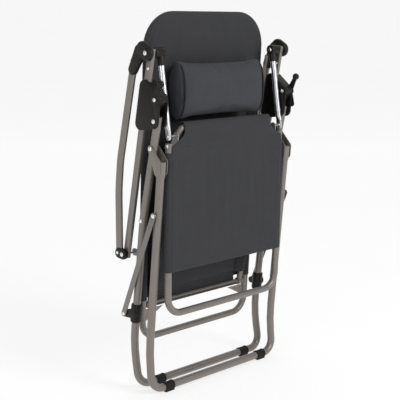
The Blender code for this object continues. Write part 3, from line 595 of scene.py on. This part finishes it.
# %% Grips, rear caps and link knuckles
ENDS_INNER, ENDS_OUTER = 0.2912, 0.3075
STAGGER = 0.0004  # so that no two faces of a moulding lie in one plane
GRIP_ELBOW, GRIP_END = (side(-0.030, 1.079), 0.0240), (side(0.015, 1.018), 0.0175)
CAP = ((ARM_REAR, 0.017), (side(0.0905, 0.442), 0.0175))
KNUCKLE_INNER, KNUCKLE_OUTER = 0.2373, 0.2760

for name, sign in SIDES:
    grip = block(((FRONT_PIVOT, 0.0240), GRIP_ELBOW), sign * ENDS_INNER, sign * ENDS_OUTER, 0.005)
    block(((side(-0.018, 1.072), 0.0225), GRIP_END), sign * (ENDS_INNER + STAGGER),
          sign * (ENDS_OUTER - STAGGER), 0.005, grip)
    block(((FRONT_PIVOT, 0.0140),), sign * (ENDS_OUTER - 0.004), sign * (ENDS_OUTER + 0.0010), 0.0008, grip)
    sided(name, "grip", grip, PLASTIC, "arms", "arm_grip")
    cap = block(CAP, sign * ENDS_INNER, sign * ENDS_OUTER, 0.005)
    sided(name, "rear_cap", cap, PLASTIC, "arms", "arm_rear_cap")
    knuckle = block(((FRONT_PIVOT, 0.0155),), sign * KNUCKLE_INNER, sign * KNUCKLE_OUTER, 0.0025)
    neck = (FRONT_PIVOT, FRONT_PIVOT + link_line * 0.039)
    bent_tube([at_x(sign * LINK_X, spot) for spot in neck], [], 0.0232, form=knuckle)
    sided(name, "knuckle", knuckle, PLASTIC, "front_links", "link_knuckle")
print("arm ends made")

# %% [markdown]
# ## Sliding locks and their cam levers
# The lock is a core that runs on the rail between two cheeks that hold the rear leg's top. The
# lever turns on the outer cheek: a hub, a thumb lobe below and a ball above to pull on.

# %% Sliding locks and their cam levers
LOCK_INNER, LOCK_OUTER, CHEEK = 0.2618, 0.2982, 0.0050
lock_low, lock_high = along(ARM_REAR, RAIL_TOP, 0.858), along(ARM_REAR, RAIL_TOP, 0.968)
LOCK_CORE = ((lock_low, 0.021), (lock_high, 0.021), (LEVER_PIVOT, 0.016))
LOCK_CHEEK = ((LEG_TOP, 0.022), (lock_low, 0.021), (lock_high, 0.021), (LEVER_PIVOT, 0.0165))
LEVER_BALL, LEVER_LOBE = side(-0.110, 0.979), side(-0.095, 0.888)
LEVER_INNER, LEVER_OUTER = 0.2988, 0.3032

for name, sign in SIDES:
    lock = block(LOCK_CORE, sign * (LOCK_INNER + 0.001), sign * (LOCK_OUTER - 0.001), 0.002)
    for low, high in ((LOCK_INNER, LOCK_INNER + CHEEK), (LOCK_OUTER - CHEEK, LOCK_OUTER)):
        block(LOCK_CHEEK, sign * low, sign * high, 0.0018, lock)
    sided(name, "slide_lock", lock, PLASTIC, "locks", "lock_housing")

    lever = block(((LEVER_PIVOT, 0.0165),), sign * LEVER_INNER, sign * LEVER_OUTER, 0.0012)
    block(((LEVER_PIVOT, 0.0105),), sign * LEVER_INNER, sign * (LEVER_OUTER + 0.001), 0.0008, lever)
    for chain, inset in ((((LEVER_PIVOT, 0.0120), (LEVER_BALL, 0.0068)), STAGGER),
                         (((LEVER_PIVOT, 0.0110), (LEVER_LOBE, 0.0098)), 2 * STAGGER)):
        block(chain, sign * (LEVER_INNER + inset), sign * (LEVER_OUTER - inset), 0.0012, lever)
    knob = Matrix.Translation(at_x(sign * (LEVER_INNER + LEVER_OUTER) / 2, LEVER_BALL))
    bmesh.ops.create_uvsphere(lever, u_segments=24, v_segments=16, radius=0.011, matrix=knob)
    sided(name, "cam_lever", lever, PLASTIC, f"lever_{name}", "lock_lever")
print("locks and levers made")

# %% [markdown]
# ## Collars, braces and hinge brackets
# A brace is a flat bar from the front leg to a collar that slides on the rear leg. The bracket is
# pressed sheet: a sleeve round the front leg's top with two cheeks that reach the hinge rivet.

# %% Collars, braces and hinge brackets
COLLAR_MIDDLE = along(REAR_BEND, REAR_STOP, 0.254)
BRACE_EYE = side(0.075, 0.247)
COLLAR_RADIUS, COLLAR_HALF = 0.0177, 0.030
BRACE_INNER, BRACE_OUTER = 0.2985, 0.3015
LEG_INNER, LEG_OUTER = LEG_HALF_WIDTH - LEG_TUBE / 2, LEG_HALF_WIDTH + LEG_TUBE / 2
rear_line, front_line = (REAR_STOP - REAR_BEND).normalized(), (FRONT_BEND - FRONT_TOP).normalized()
COLLAR_PROFILE = mirrored(((0.024, COLLAR_RADIUS), (0.0285, 0.0168), (COLLAR_HALF, 0.0148), (COLLAR_HALF, 0)))

for name, sign in SIDES:
    collar = turned(COLLAR_PROFILE, at_x(sign * LEG_HALF_WIDTH, COLLAR_MIDDLE), at_x(0, rear_line))
    block(((BRACE_EYE, 0.0115), (COLLAR_MIDDLE, 0.016)), sign * (LEG_OUTER - 0.006),
          sign * (LEG_HALF_WIDTH + 0.0174), 0.002, collar)
    sided(name, "collar", collar, PLASTIC, "collars", "slide_collar")

    brace = block(((BRACE_TOP, 0.010), (BRACE_EYE, 0.010)), sign * BRACE_INNER, sign * BRACE_OUTER, 0.0008)
    sided(name, "brace_bar", brace, GREY_TUBE, "braces", "brace")

    strap = bmesh.new()
    low_end = FRONT_TOP + front_line * 0.046
    sleeve = [at_x(sign * LEG_HALF_WIDTH, spot) for spot in (FRONT_TOP - front_line * 0.002, low_end)]
    bent_tube(sleeve, [], LEG_TUBE + 0.0036, form=strap)
    for low, high in ((LEG_INNER - 0.0035, LEG_INNER - 0.001), (LEG_OUTER + 0.001, LEG_OUTER + 0.0035)):
        block(((LEG_HINGE, 0.0105), (FRONT_TOP, 0.0125), (FRONT_TOP + front_line * 0.030, 0.0125)),
              sign * low, sign * high, 0.0008, strap)
    sided(name, "hinge_strap", strap, GREY_TUBE, "front_leg", "hinge_bracket")
print("collars, braces and brackets made")

# %% [markdown]
# ## Rivets
# Every pivot is a bright steel rivet with a domed head each side. The profile is half of a
# section: the dome, the head's rim and the shank, spun about the pivot's axis.

# %% Rivets
HEAD, DOME, SHANK = 0.0072, 0.0024, 0.0040


def dome(face, way, radius):
    """The profile of a domed head on the face at this place, going out this way."""
    turns = [math.radians(step) for step in range(0, 91, 15)]
    return [(face + way * DOME * math.sin(turn), radius * math.cos(turn)) for turn in turns]


def rivet(name, spot, low, high, body, stands_for=(), radius=HEAD):
    for label, sign in SIDES:
        profile = dome(low, -1, radius)[::-1] + [(low, SHANK), (high, SHANK)] + dome(high, 1, radius)
        profile[0], profile[-1] = (profile[0][0], 0), (profile[-1][0], 0)
        form = turned(profile, at_x(0, spot), Vector((sign, 0, 0)))
        stood_for = [f"{node}_{label}" for node in stands_for]
        piece(f"{name}_{label}", form, CHROME, body, stood_for)


PLATE_X = 0.2522
rivet("front_rivet", FRONT_PIVOT, KNUCKLE_INNER - 0.001, ENDS_OUTER + 0.0010, "arms", ["arm_front_bolt"])
rivet("rear_rivet", ARM_REAR, PLATE_X, ENDS_OUTER, "arms", ["arm_rear_bolt"])
rivet("lock_rivet", LEG_TOP, LOCK_INNER, LOCK_OUTER, "locks", ["leg_top_pin"])
rivet("hinge_rivet", LEG_HINGE, LEG_INNER - 0.0035, LEG_OUTER + 0.0035, "front_leg", ["leg_hinge_pin"])
rivet("brace_rivet", BRACE_TOP, LEG_INNER, BRACE_OUTER, "front_leg", ["brace_pin"])
rivet("stop_rivet", REAR_STOP, LEG_INNER, LEG_OUTER, "rear_leg", ["collar_stop"])
rivet("knee_rivet", KNEE, 0.2170, LEGREST_HALF + FRAME_TUBE / 2, "legrest", ["knee_pin"])
rivet("lever_rivet", LEVER_PIVOT, LOCK_INNER, LEVER_OUTER + 0.001, "locks", radius=0.0062)
rivet("brace_foot_rivet", BRACE_EYE, LEG_OUTER, BRACE_OUTER, "braces", radius=0.0062)
rivet("cap_rivet", side(0.094, 0.443), ENDS_INNER, ENDS_OUTER, "arms", radius=0.0055)
rivet("rail_rivet", along(ARM_REAR, RAIL_TOP, 1.022), RAIL_X - 0.007, RAIL_X + 0.007, "arms",
      radius=0.0055)
rivet("link_rivet", LINK_FOOT, LINK_X - 0.0046, LINK_X + 0.0046, "front_links", radius=0.0060)
print("rivets made")

# %% [markdown]
# ## Feet
# A rubber sleeve on each end of both floor bars, with raised bands, and a flat pad moulded under
# it that the chair stands on.

# %% Feet
FOOT_PROFILE = mirrored(((0.0130, 0.0146), (0.0140, 0.0155), (0.0175, 0.0155), (0.019, 0.0140), (0.019, 0)))
PAD_MIDDLE, PAD_SIZE = 0.003, (0.036, 0.022, 0.006, 1)
for kind, spot, inset in (("front", FRONT_FOOT, 0.067), ("rear", REAR_FOOT, 0.086)):
    for name, sign in SIDES:
        across = sign * (LEG_HALF_WIDTH - inset)
        foot = turned(FOOT_PROFILE, at_x(across, spot), Vector((sign, 0, 0)))
        pad = Matrix.Translation(at_x(across, side(spot.x, PAD_MIDDLE))) @ Matrix.Diagonal(PAD_SIZE)
        bmesh.ops.create_cube(foot, size=1, matrix=pad)
        piece(f"{kind}_shoe_{name}", foot, RUBBER, f"{kind}_leg", [f"{kind}_foot_{name}"])
print("feet made")

# %% [markdown]
# ## Plates that keep their CAD shape
# The gussets, the back's pivot plates and the knee plates are flat steel and right as they are,
# so they only get their finish.

# %% Plates that keep their CAD shape
for node, finish in (("back_gusset", GREY_TUBE), ("back_pivot_plate", GREY_TUBE), ("knee_plate", ZINC)):
    for name, _ in SIDES:
        plate = frame["nodes"][f"{node}_{name}"]
        plate.data.materials.clear()
        plate.data.materials.append(finish)
print("plates finished")

# %% [markdown]
# ## The slings
# Each sling is cut cloth with a sleeve on every side that holds a tube. A grid is laid out as the
# flat cut and carried into place: the panel lies against one side of the tubes, and the sleeve
# goes on round the tube and comes back to the panel, where it is sewn down. The cloth sags and
# ripples a little between the tubes. Solidify then gives it its thickness.

# %% Laying cloth
CLOTH = 0.0014
SEWN_IN = 0.026
LOOSE = 0.0006         # between a tube and the cloth round it
SEWN_UNDER = 0.0022    # from the panel to the strip sewn down beneath it
RIPPLES = ((0.0022, 9, 5), (0.0009, 26, 14))    # depth, then how many across and up


def wrapped(radius):
    """The radius of the cloth's middle round a tube of this radius."""
    return radius + CLOTH / 2 + LOOSE


def hold_of(wrap):
    """How much cloth lies round the tube, from the panel to where it leaves for the sewn strip."""
    return wrap * (math.pi + 2 * math.atan(wrap / SEWN_IN))


def sleeve_section(wrap, run):
    """(outwards, towards the panel) from the tube's middle, after this run of the sleeve's cut."""
    hold = hold_of(wrap)
    turn, share = min(run, hold) / wrap, max(0.0, run - hold) / SEWN_IN
    out = wrap * math.sin(turn) * (1 - share) - SEWN_IN * share
    return out, wrap * math.cos(turn) * (1 - share) + (wrap - SEWN_UNDER) * share


def lay(form, columns, rows, place):
    """A grid carried to place(u, v), which also gives each point's spot on the flat cut."""
    uv = form.loops.layers.uv.verify()
    made = bmesh.ops.create_grid(form, x_segments=columns, y_segments=rows, size=0.5)["verts"]
    flat = {}
    for vert in made:
        vert.co, flat[vert] = place(vert.co.x + 0.5, vert.co.y + 0.5)
    for face in {face for vert in made for face in vert.link_faces}:
        for corner in face.loops:
            corner[uv].uv = flat[corner.vert]


def ripple(u, v, seed):
    """A few millimetres of looseness, the same on every run."""
    return sum(deep * noise.noise(Vector((u * wide, v * tall, seed))) for deep, wide, tall in RIPPLES)


def smooth_step(share):
    share = min(max(share, 0.0), 1.0)
    return share * share * (3 - 2 * share)


def cloth_piece(name, form, finish, body, stands_for):
    bmesh.ops.remove_doubles(form, verts=form.verts, dist=1e-6)
    bmesh.ops.recalc_face_normals(form, faces=form.faces)
    made = stood_up(name, form, finish)
    made.data.shade_smooth()
    thicken = made.modifiers.new("thickness", "SOLIDIFY")
    thicken.thickness, thicken.offset = CLOTH, 0
    if body:
        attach(made, body)
    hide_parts(*stands_for)
    return made or made


print("cloth table ready")

# %% Straight sleeves
def straight_sleeve(form, sign, half, radius, low, high, line, facing):
    """A sleeve on one straight tube; line(z) is the tube's middle and facing the panel's side."""
    wrap = wrapped(radius)
    cut = hold_of(wrap) + SEWN_IN

    def place(u, v):
        run, height = u * cut, low + (high - low) * v
        out, depth = sleeve_section(wrap, run)
        spot = line(height)
        laid = Vector((sign * (half + out), spot.x + facing * depth, spot.y))
        return laid, (sign * (half + run), height)

    lay(form, 26, 60, place)


print("sleeve pattern ready")

# %% [markdown]
# ### Legrest sling
# Its panel faces the sitter's calves, which is the front here. Above the hinge the cloth is cut
# narrower and goes up and over the knee bar: it follows the seat at the bar and the legrest below,
# and its shape is blended between them across the joint. It is put on no body.

# %% Legrest sling
def legrest_line(z):
    return along(LEGREST_BAR, KNEE, z)


CALF_LOW, SLEEVE_HIGH, NOTCH_LOW, NOTCH_HIGH, BAR_TOP = 0.400, 0.770, 0.788, 0.832, KNEE_BAR.y
TOP_HALF, BAR_WRAP, CALF_SAG = 0.192, SEAT_TUBE / 2 + 0.0035, 0.003
calf = bmesh.new()
calf_out = wrapped(FRAME_TUBE / 2)
OVER_BAR = BAR_WRAP * math.radians(200)
CALF_LONG = BAR_TOP - CALF_LOW + OVER_BAR


def place_calf(u, v):
    run = v * CALF_LONG
    side_u = 2 * u - 1
    z = min(CALF_LOW + run, BAR_TOP)
    rise = smooth_step((z - NOTCH_LOW) / (NOTCH_HIGH - NOTCH_LOW))
    half = LEGREST_HALF + (TOP_HALF - LEGREST_HALF) * rise ** 0.6
    tight = (1 - side_u ** 4) * math.sin(math.pi * min(run / (BAR_TOP - CALF_LOW), 1.0))
    y = legrest_line(min(z, KNEE.y)).x - calf_out
    if z > KNEE.y:
        y += (KNEE_BAR.x - BAR_WRAP - y) * (z - KNEE.y) / (BAR_TOP - KNEE.y)
    spot = Vector((side_u * half, y + tight * (CALF_SAG + ripple(side_u, run, 3)), z))
    over = CALF_LOW + run - BAR_TOP
    if over > 0:
        turn = over / BAR_WRAP
        spot = Vector((side_u * half, KNEE_BAR.x - BAR_WRAP * math.cos(turn),
                       BAR_TOP + BAR_WRAP * math.sin(turn)))
    return spot, (side_u * half, run)


lay(calf, 56, 96, place_calf)
for _, sign in SIDES:
    straight_sleeve(calf, sign, LEGREST_HALF, FRAME_TUBE / 2, CALF_LOW, SLEEVE_HIGH, legrest_line, -1)
hem_at = KNEE.y - CALF_LOW
CALF_WEAVE = woven("legrest_weave", LIGHT_YARN, DARK_YARN, across=(LEGREST_HALF - 0.022,),
                   along=(0.012, hem_at))
legrest_sling = cloth_piece("legrest_sling", calf, CALF_WEAVE, None, ["legrest_cloth"])
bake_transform(legrest_sling)
calf_cut = (2 * (LEGREST_HALF + math.pi * calf_out + SEWN_IN), CALF_LONG)
print("legrest sling, cut", [round(size, 3) for size in calf_cut])

# %% [markdown]
# ### Seat sling
# It runs from just above the seat's eyes to the knee bar, on the tubes' rear side, with a sleeve
# on each side tube that stops below the knee plates.

# %% Seat sling
SEAT_LOW, SEAT_NOTCH, SEAT_NOTCH_TALL = 0.300, 0.748, 0.030
SEAT_TOP_HALF, SEAT_SAG = 0.172, 0.002
SEAT_RISE = 0.80     # from here it rises to the bar
BAR_UNDER = 0.002    # and passes this far inside the legrest's cloth
seat_cloth = bmesh.new()
seat_out = wrapped(SEAT_TUBE / 2)


def seat_line(z):
    return along(SEAT_PIVOT, KNEE_BAR, z)


def place_seat(u, v):
    side_u = 2 * u - 1
    z = SEAT_LOW + (BAR_TOP - SEAT_LOW) * v
    rise = smooth_step((z - SEAT_NOTCH) / SEAT_NOTCH_TALL)
    half = SEAT_HALF + (SEAT_TOP_HALF - SEAT_HALF) * rise
    sag = (1 - side_u ** 4) * math.sin(math.pi * v) * (SEAT_SAG + ripple(side_u, z, 8))
    top = smooth_step((z - SEAT_RISE) / (BAR_TOP - SEAT_RISE)) * (BAR_WRAP - BAR_UNDER - seat_out)
    return Vector((side_u * half, seat_line(z).x + seat_out + top - sag, z)), (side_u * half, z)


lay(seat_cloth, 48, 84, place_seat)
for _, sign in SIDES:
    straight_sleeve(seat_cloth, sign, SEAT_HALF, SEAT_TUBE / 2, SEAT_LOW, SEAT_NOTCH, seat_line, 1)
SEAT_WEAVE = woven("seat_weave", LIGHT_YARN, DARK_YARN, across=(SEAT_HALF - 0.022,),
                   along=(SEAT_LOW + 0.012,))
seat_sling = cloth_piece("seat_sling", seat_cloth, SEAT_WEAVE, "seat", ["seat_cloth"])
seat_cut = (2 * (SEAT_HALF + math.pi * seat_out + SEWN_IN), BAR_TOP - SEAT_LOW)
print("seat sling, cut", [round(size, 3) for size in seat_cut])

# %% [markdown]
# ### Back sling
# The sleeve follows the frame's arch: up one side, round the head and down the other. Points of
# the arch are spaced evenly, and each carries one section of the sleeve. The main panel lies
# behind the tubes, a second one lies before them over the headrest, and a hem joins the main
# panel's foot to the cross tube.

# %% Back sling
BACK_LOW, POCKET_LOW, HEM_HALF = 0.282, 0.900, 0.190
back_out = wrapped(FRAME_TUBE / 2)
back_lean = (HEAD_BAR - BACK_BAR).normalized()


def back_half(z):
    return BACK_HALF + (HEAD_HALF - BACK_HALF) * (z - BACK_BAR.y) / (HEAD_BAR.y - BACK_BAR.y)


def arch_spots(count):
    """Evenly spaced (across, height up the lean, outward across, outward up) along the arch."""
    rise = (HEAD_BAR.y - BACK_LOW) / back_lean.y
    rim = []
    steps = 24
    for step in range(steps + 1):
        turn = math.pi / 2 * step / steps
        rim.append((HEAD_HALF - HEAD_CORNER * (1 - math.cos(turn)),
                    rise - HEAD_CORNER * (1 - math.sin(turn)), math.cos(turn), math.sin(turn)))
    left = [(back_half(BACK_LOW), 0.0, 1.0, 0.0)] + rim
    whole = left + [(-x, up, -ox, ou) for x, up, ox, ou in reversed(left)]
    lengths = [0.0]
    for first, second in zip(whole, whole[1:]):
        lengths.append(lengths[-1] + math.hypot(second[0] - first[0], second[1] - first[1]))
    spots, at = [], 0
    for index in range(count + 1):
        target = lengths[-1] * index / count
        while at < len(whole) - 2 and lengths[at + 1] < target:
            at += 1
        share = (target - lengths[at]) / (lengths[at + 1] - lengths[at])
        spots.append(tuple(a + (b - a) * share for a, b in zip(whole[at], whole[at + 1])))
    return spots, lengths[-1]


def lean_to(x, up, depth):
    """A point of the back's own plane: across, up its lean, and out of the plane to the rear."""
    foot = along(BACK_BAR, HEAD_BAR, BACK_LOW)
    return Vector((x, foot.x + back_lean.x * up + depth * back_lean.y,
                   foot.y + back_lean.y * up - depth * back_lean.x))


ARCH_STEPS = 150
spots, arch_long = arch_spots(ARCH_STEPS)
back_cloth = bmesh.new()


def place_back_sleeve(u, v):
    x, up, out_x, out_up = spots[round(v * ARCH_STEPS)]
    run = u * (hold_of(back_out) + SEWN_IN)
    out, depth = sleeve_section(back_out, run)
    return lean_to(x + out_x * out, up + out_up * out, depth), (HEAD_HALF + run, v * arch_long)


lay(back_cloth, 24, ARCH_STEPS, place_back_sleeve)
panel_tall = (HEAD_BAR.y - BACK_LOW) / back_lean.y


def head_panel(low, facing, sag_most):
    """The way to lay a panel that fills the arch from this height up, on one side of the tubes."""
    start = (low - BACK_LOW) / back_lean.y

    def place(u, v):
        side_u, up = 2 * u - 1, start + (panel_tall - start) * (1 - (1 - v) ** 1.35)
        drop = max(0.0, up - (panel_tall - HEAD_CORNER)) / HEAD_CORNER
        rounding = HEAD_CORNER * (1 - math.sqrt(max(0.0, 1 - drop * drop)))
        half = back_half(BACK_LOW + up * back_lean.y) - rounding
        sag = (1 - side_u ** 4) * math.sin(math.pi * v) * (sag_most + ripple(side_u, up, 5 + facing))
        return lean_to(side_u * half, up, facing * (back_out - sag)), (side_u * half, up)

    return place


lay(back_cloth, 60, 150, head_panel(BACK_LOW, 1, 0.004))
lay(back_cloth, 60, 64, head_panel(POCKET_LOW, -1, 0.002))
cross_out = CROSS_TUBE / 2 + CLOTH / 2 + 0.0008
foot = lean_to(0, 0, back_out)
hem_drop = math.hypot(foot.y - SEAT_PIVOT.x - cross_out, foot.z - SEAT_PIVOT.y)


def place_hem(u, v):
    """From the panel's foot down, round under the crossbar and up its front."""
    x, run = (2 * u - 1) * HEM_HALF, v * (hem_drop + math.pi * cross_out)
    share, turn = min(run / hem_drop, 1.0), max(0.0, run - hem_drop) / cross_out
    y = foot.y + (SEAT_PIVOT.x + cross_out * math.cos(turn) - foot.y) * share
    z = foot.z + (SEAT_PIVOT.y - cross_out * math.sin(turn) - foot.z) * share
    return Vector((x, y, z)), (x, -run)


lay(back_cloth, 40, 24, place_hem)
BACK_WEAVE = woven("back_weave", LIGHT_YARN, DARK_YARN,
                   across=(BACK_HALF - 0.020, HEAD_HALF + math.pi * back_out + 0.020), along=(0.012,))
back_sling = cloth_piece("back_sling", back_cloth, BACK_WEAVE, "back", ["back_cloth"])
back_cut = (2 * (HEAD_HALF + math.pi * back_out + SEWN_IN),
            panel_tall + HEAD_BAR.y - POCKET_LOW + hem_drop + math.pi * cross_out)
print("back sling, cut", [round(size, 3) for size in back_cut])

# %% [markdown]
# ## Head pillow
# A bolster with a round front and two flat sewn ends. It starts as a slightly slim bolster, is
# remeshed into even cloth, and air pressure in Blender's Cloth swells it, with a cap on how far a
# point may move. The piping is laid round the ends afterwards.

# %% Head pillow
PILLOW_LOW, PILLOW_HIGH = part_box("head_pillow")
PILLOW_LOW.z -= 0.009
PILLOW_MIDDLE = (PILLOW_LOW + PILLOW_HIGH) / 2
PILLOW_SIZE = PILLOW_HIGH - PILLOW_LOW
PUFF_MOST = 0.010
PUFF_FRAMES = 20
SLIM = 0.0055
PILLOW_SQUARE, PILLOW_SIDES = 2.35, 56
STAND_UP = Matrix.Rotation(math.pi / 2, 4, "Z") @ Matrix.Rotation(math.pi / 2, 4, "X")


def bolster(form, half_long, half_deep, half_tall):
    """A closed bolster along X: a squared-off oval section between two flat ends."""
    ring = bmesh.ops.create_circle(form, segments=PILLOW_SIDES, radius=1.0, cap_ends=True)["verts"]
    squeeze(ring, 2 * half_tall, 2 * half_deep, PILLOW_SQUARE)
    bmesh.ops.transform(form, verts=ring, matrix=Matrix.Translation((-half_long, 0, 0)) @ STAND_UP)
    faces = list({face for vert in ring for face in vert.link_faces})
    made = bmesh.ops.extrude_face_region(form, geom=faces)["geom"]
    bmesh.ops.translate(form, verts=[each for each in made if isinstance(each, bmesh.types.BMVert)],
                        vec=(2 * half_long, 0, 0))


def settle(made):
    """Swaps an object's mesh for what its modifiers make of it."""
    graph = bpy.context.evaluated_depsgraph_get()
    result = bpy.data.meshes.new_from_object(made.evaluated_get(graph))
    made.modifiers.clear()
    made.data = result


def puff(shell, most):
    """Cloth with pressure, run on the shell itself; no point of the result moves further than this."""
    before = [vert.co.copy() for vert in shell.data.vertices]
    cloth = shell.modifiers.new("cloth", "CLOTH")
    cloth.settings.use_pressure = True
    cloth.settings.uniform_pressure_force = 4.0
    cloth.settings.tension_stiffness = cloth.settings.compression_stiffness = 12
    cloth.settings.bending_stiffness = 0.4
    cloth.settings.effector_weights.gravity = 0
    cloth.point_cache.frame_end = PUFF_FRAMES
    for number in range(1, PUFF_FRAMES + 1):
        bpy.context.scene.frame_set(number)
    graph = bpy.context.evaluated_depsgraph_get()
    after = [vert.co.copy() for vert in shell.evaluated_get(graph).data.vertices]
    shell.modifiers.clear()
    for vert, start, swollen in zip(shell.data.vertices, before, after):
        step = swollen - start
        vert.co = start + (step.normalized() * min(step.length, most) if step.length > 0 else step)
    bpy.context.scene.frame_set(1)


cushion = bmesh.new()
bolster(cushion, PILLOW_SIZE.x / 2 - SLIM, PILLOW_SIZE.y / 2 - SLIM, PILLOW_SIZE.z / 2 - SLIM)
bmesh.ops.translate(cushion, verts=cushion.verts, vec=PILLOW_MIDDLE)
pillow = piece("head_cushion", cushion, PILLOW_CLOTH, None)
remesh = pillow.modifiers.new("even", "REMESH")
remesh.mode, remesh.voxel_size = "VOXEL", 0.006
settle(pillow)
puff(pillow, PUFF_MOST)
worked = bmesh.new()
worked.from_mesh(pillow.data)
for _ in range(3):
    bmesh.ops.smooth_vert(worked, verts=worked.verts, factor=0.5,
                          use_axis_x=True, use_axis_y=True, use_axis_z=True)
lows = [min(vert.co[axis] for vert in worked.verts) for axis in range(3)]
highs = [max(vert.co[axis] for vert in worked.verts) for axis in range(3)]
fit = [PILLOW_SIZE[axis] / (highs[axis] - lows[axis]) for axis in range(3)]
worked_middle = Vector([(low + high) / 2 for low, high in zip(lows, highs)])
bmesh.ops.translate(worked, verts=worked.verts, vec=-worked_middle)
bmesh.ops.scale(worked, verts=worked.verts, vec=fit)
bmesh.ops.translate(worked, verts=worked.verts, vec=PILLOW_MIDDLE)
for vert in worked.verts:
    crease = noise.noise(vert.co * 16) * 0.0016 + noise.noise(vert.co * 42) * 0.0005
    vert.co += vert.normal * crease
bmesh.ops.recalc_face_normals(worked, faces=worked.faces)
worked.to_mesh(pillow.data)
worked.free()
pillow.data.materials.clear()
pillow.data.materials.append(PILLOW_CLOTH)
pillow.data.shade_smooth()
soften = pillow.modifiers.new("soften", "SUBSURF")
soften.levels = soften.render_levels = 1
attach(pillow, "back")
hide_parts("head_pillow")
print("pillow", len(pillow.data.polygons), "faces")

# %% [markdown]
# ### Piping
# A thin cord is sewn round each end of the pillow, where the round side meets the flat end.

# %% Piping
PIPE_IN, PIPE_RADIUS = 0.013, 0.0020
PIPE_SMALLER, PIPE_SPOTS = 0.011, 72
for name, sign in SIDES:
    form = bmesh.new()
    cords = bmesh.ops.create_circle(form, segments=PIPE_SPOTS, radius=1.0)["verts"]
    squeeze(cords, PILLOW_SIZE.z - PIPE_SMALLER, PILLOW_SIZE.y - PIPE_SMALLER, PILLOW_SQUARE)
    shift = Matrix.Translation(PILLOW_MIDDLE + Vector((sign * (PILLOW_SIZE.x / 2 - PIPE_IN), 0, 0)))
    bmesh.ops.transform(form, verts=cords, matrix=shift @ STAND_UP)
    cord = stood_up(f"pillow_piping_{name}", form, PIPING)
    cord.modifiers.new("skin", "SKIN")
    for each in cord.data.skin_vertices[0].data:
        each.radius = (PIPE_RADIUS, PIPE_RADIUS)
    settle(cord)
    cord.data.materials.clear()
    cord.data.materials.append(PIPING)
    cord.data.shade_smooth()
    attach(cord, "back")
print("piping made")

# %% [markdown]
# ## Floor and light
# A pale floor that curves up far behind the chair, one large soft light from the right front, a
# weaker one from the left, and an even sky for the rest.

# %% Floor and light
stage_form = bmesh.new()
ahead = Vector((math.sin(CAMERA_TURN), math.cos(CAMERA_TURN), 0))
across = Vector((ahead.y, -ahead.x, 0))
FLOOR_NEAR, FLOOR_FAR, FLOOR_HALF, SWEEP, WALL = 8, 6, 14, 3, 12
edge = [stage_form.verts.new(across * end - ahead * FLOOR_NEAR) for end in (-FLOOR_HALF, FLOOR_HALF)]
rim = push(stage_form, [stage_form.edges.new(edge)], ahead * (FLOOR_NEAR + FLOOR_FAR))
sweep = bmesh.ops.spin(stage_form, geom=rim, cent=ahead * FLOOR_FAR + Vector((0, 0, SWEEP)),
                       axis=across, angle=math.pi / 2, dvec=(0, 0, 0), steps=24)["geom_last"]
push(stage_form, [each for each in sweep if isinstance(each, bmesh.types.BMEdge)], Vector((0, 0, WALL)))
paper = Finish("pale_paper")
grain = paper.noise(paper.place(), 3)
paper.set(paper.shader, {"Emission Strength": 0.68, "Emission Color": (1, 1, 1)})
paper.wear(paper.blend(grain, (0.33, 0.33, 0.33), (0.36, 0.36, 0.36)), grain * 0.1 + 0.8)
bmesh.ops.recalc_face_normals(stage_form, faces=stage_form.faces)
floor = stood_up("floor", stage_form, paper.material)

sky = bpy.data.worlds.new("sky")
sky.use_nodes = True
sky.node_tree.nodes["Background"].inputs["Color"].default_value = (1, 1, 1, 1)
sky.node_tree.nodes["Background"].inputs["Strength"].default_value = 0.55
bpy.context.scene.world = sky


def soft_light(name, spot, size, power):
    lamp = bpy.data.lights.new(name, "AREA")
    lamp.shape, lamp.size, lamp.energy = "SQUARE", size, power
    made = bpy.data.objects.new(name, lamp)
    made.location = spot
    made.rotation_euler = (Vector((0, 0, 0.6)) - Vector(spot)).to_track_quat("-Z", "Y").to_euler()
    bpy.context.scene.collection.objects.link(made)


soft_light("key", (0.6, -3.4, 2.4), 1.4, 62)
soft_light("fill", (-3.2, -0.6, 1.8), 1.6, 20)
print("stage and lights set")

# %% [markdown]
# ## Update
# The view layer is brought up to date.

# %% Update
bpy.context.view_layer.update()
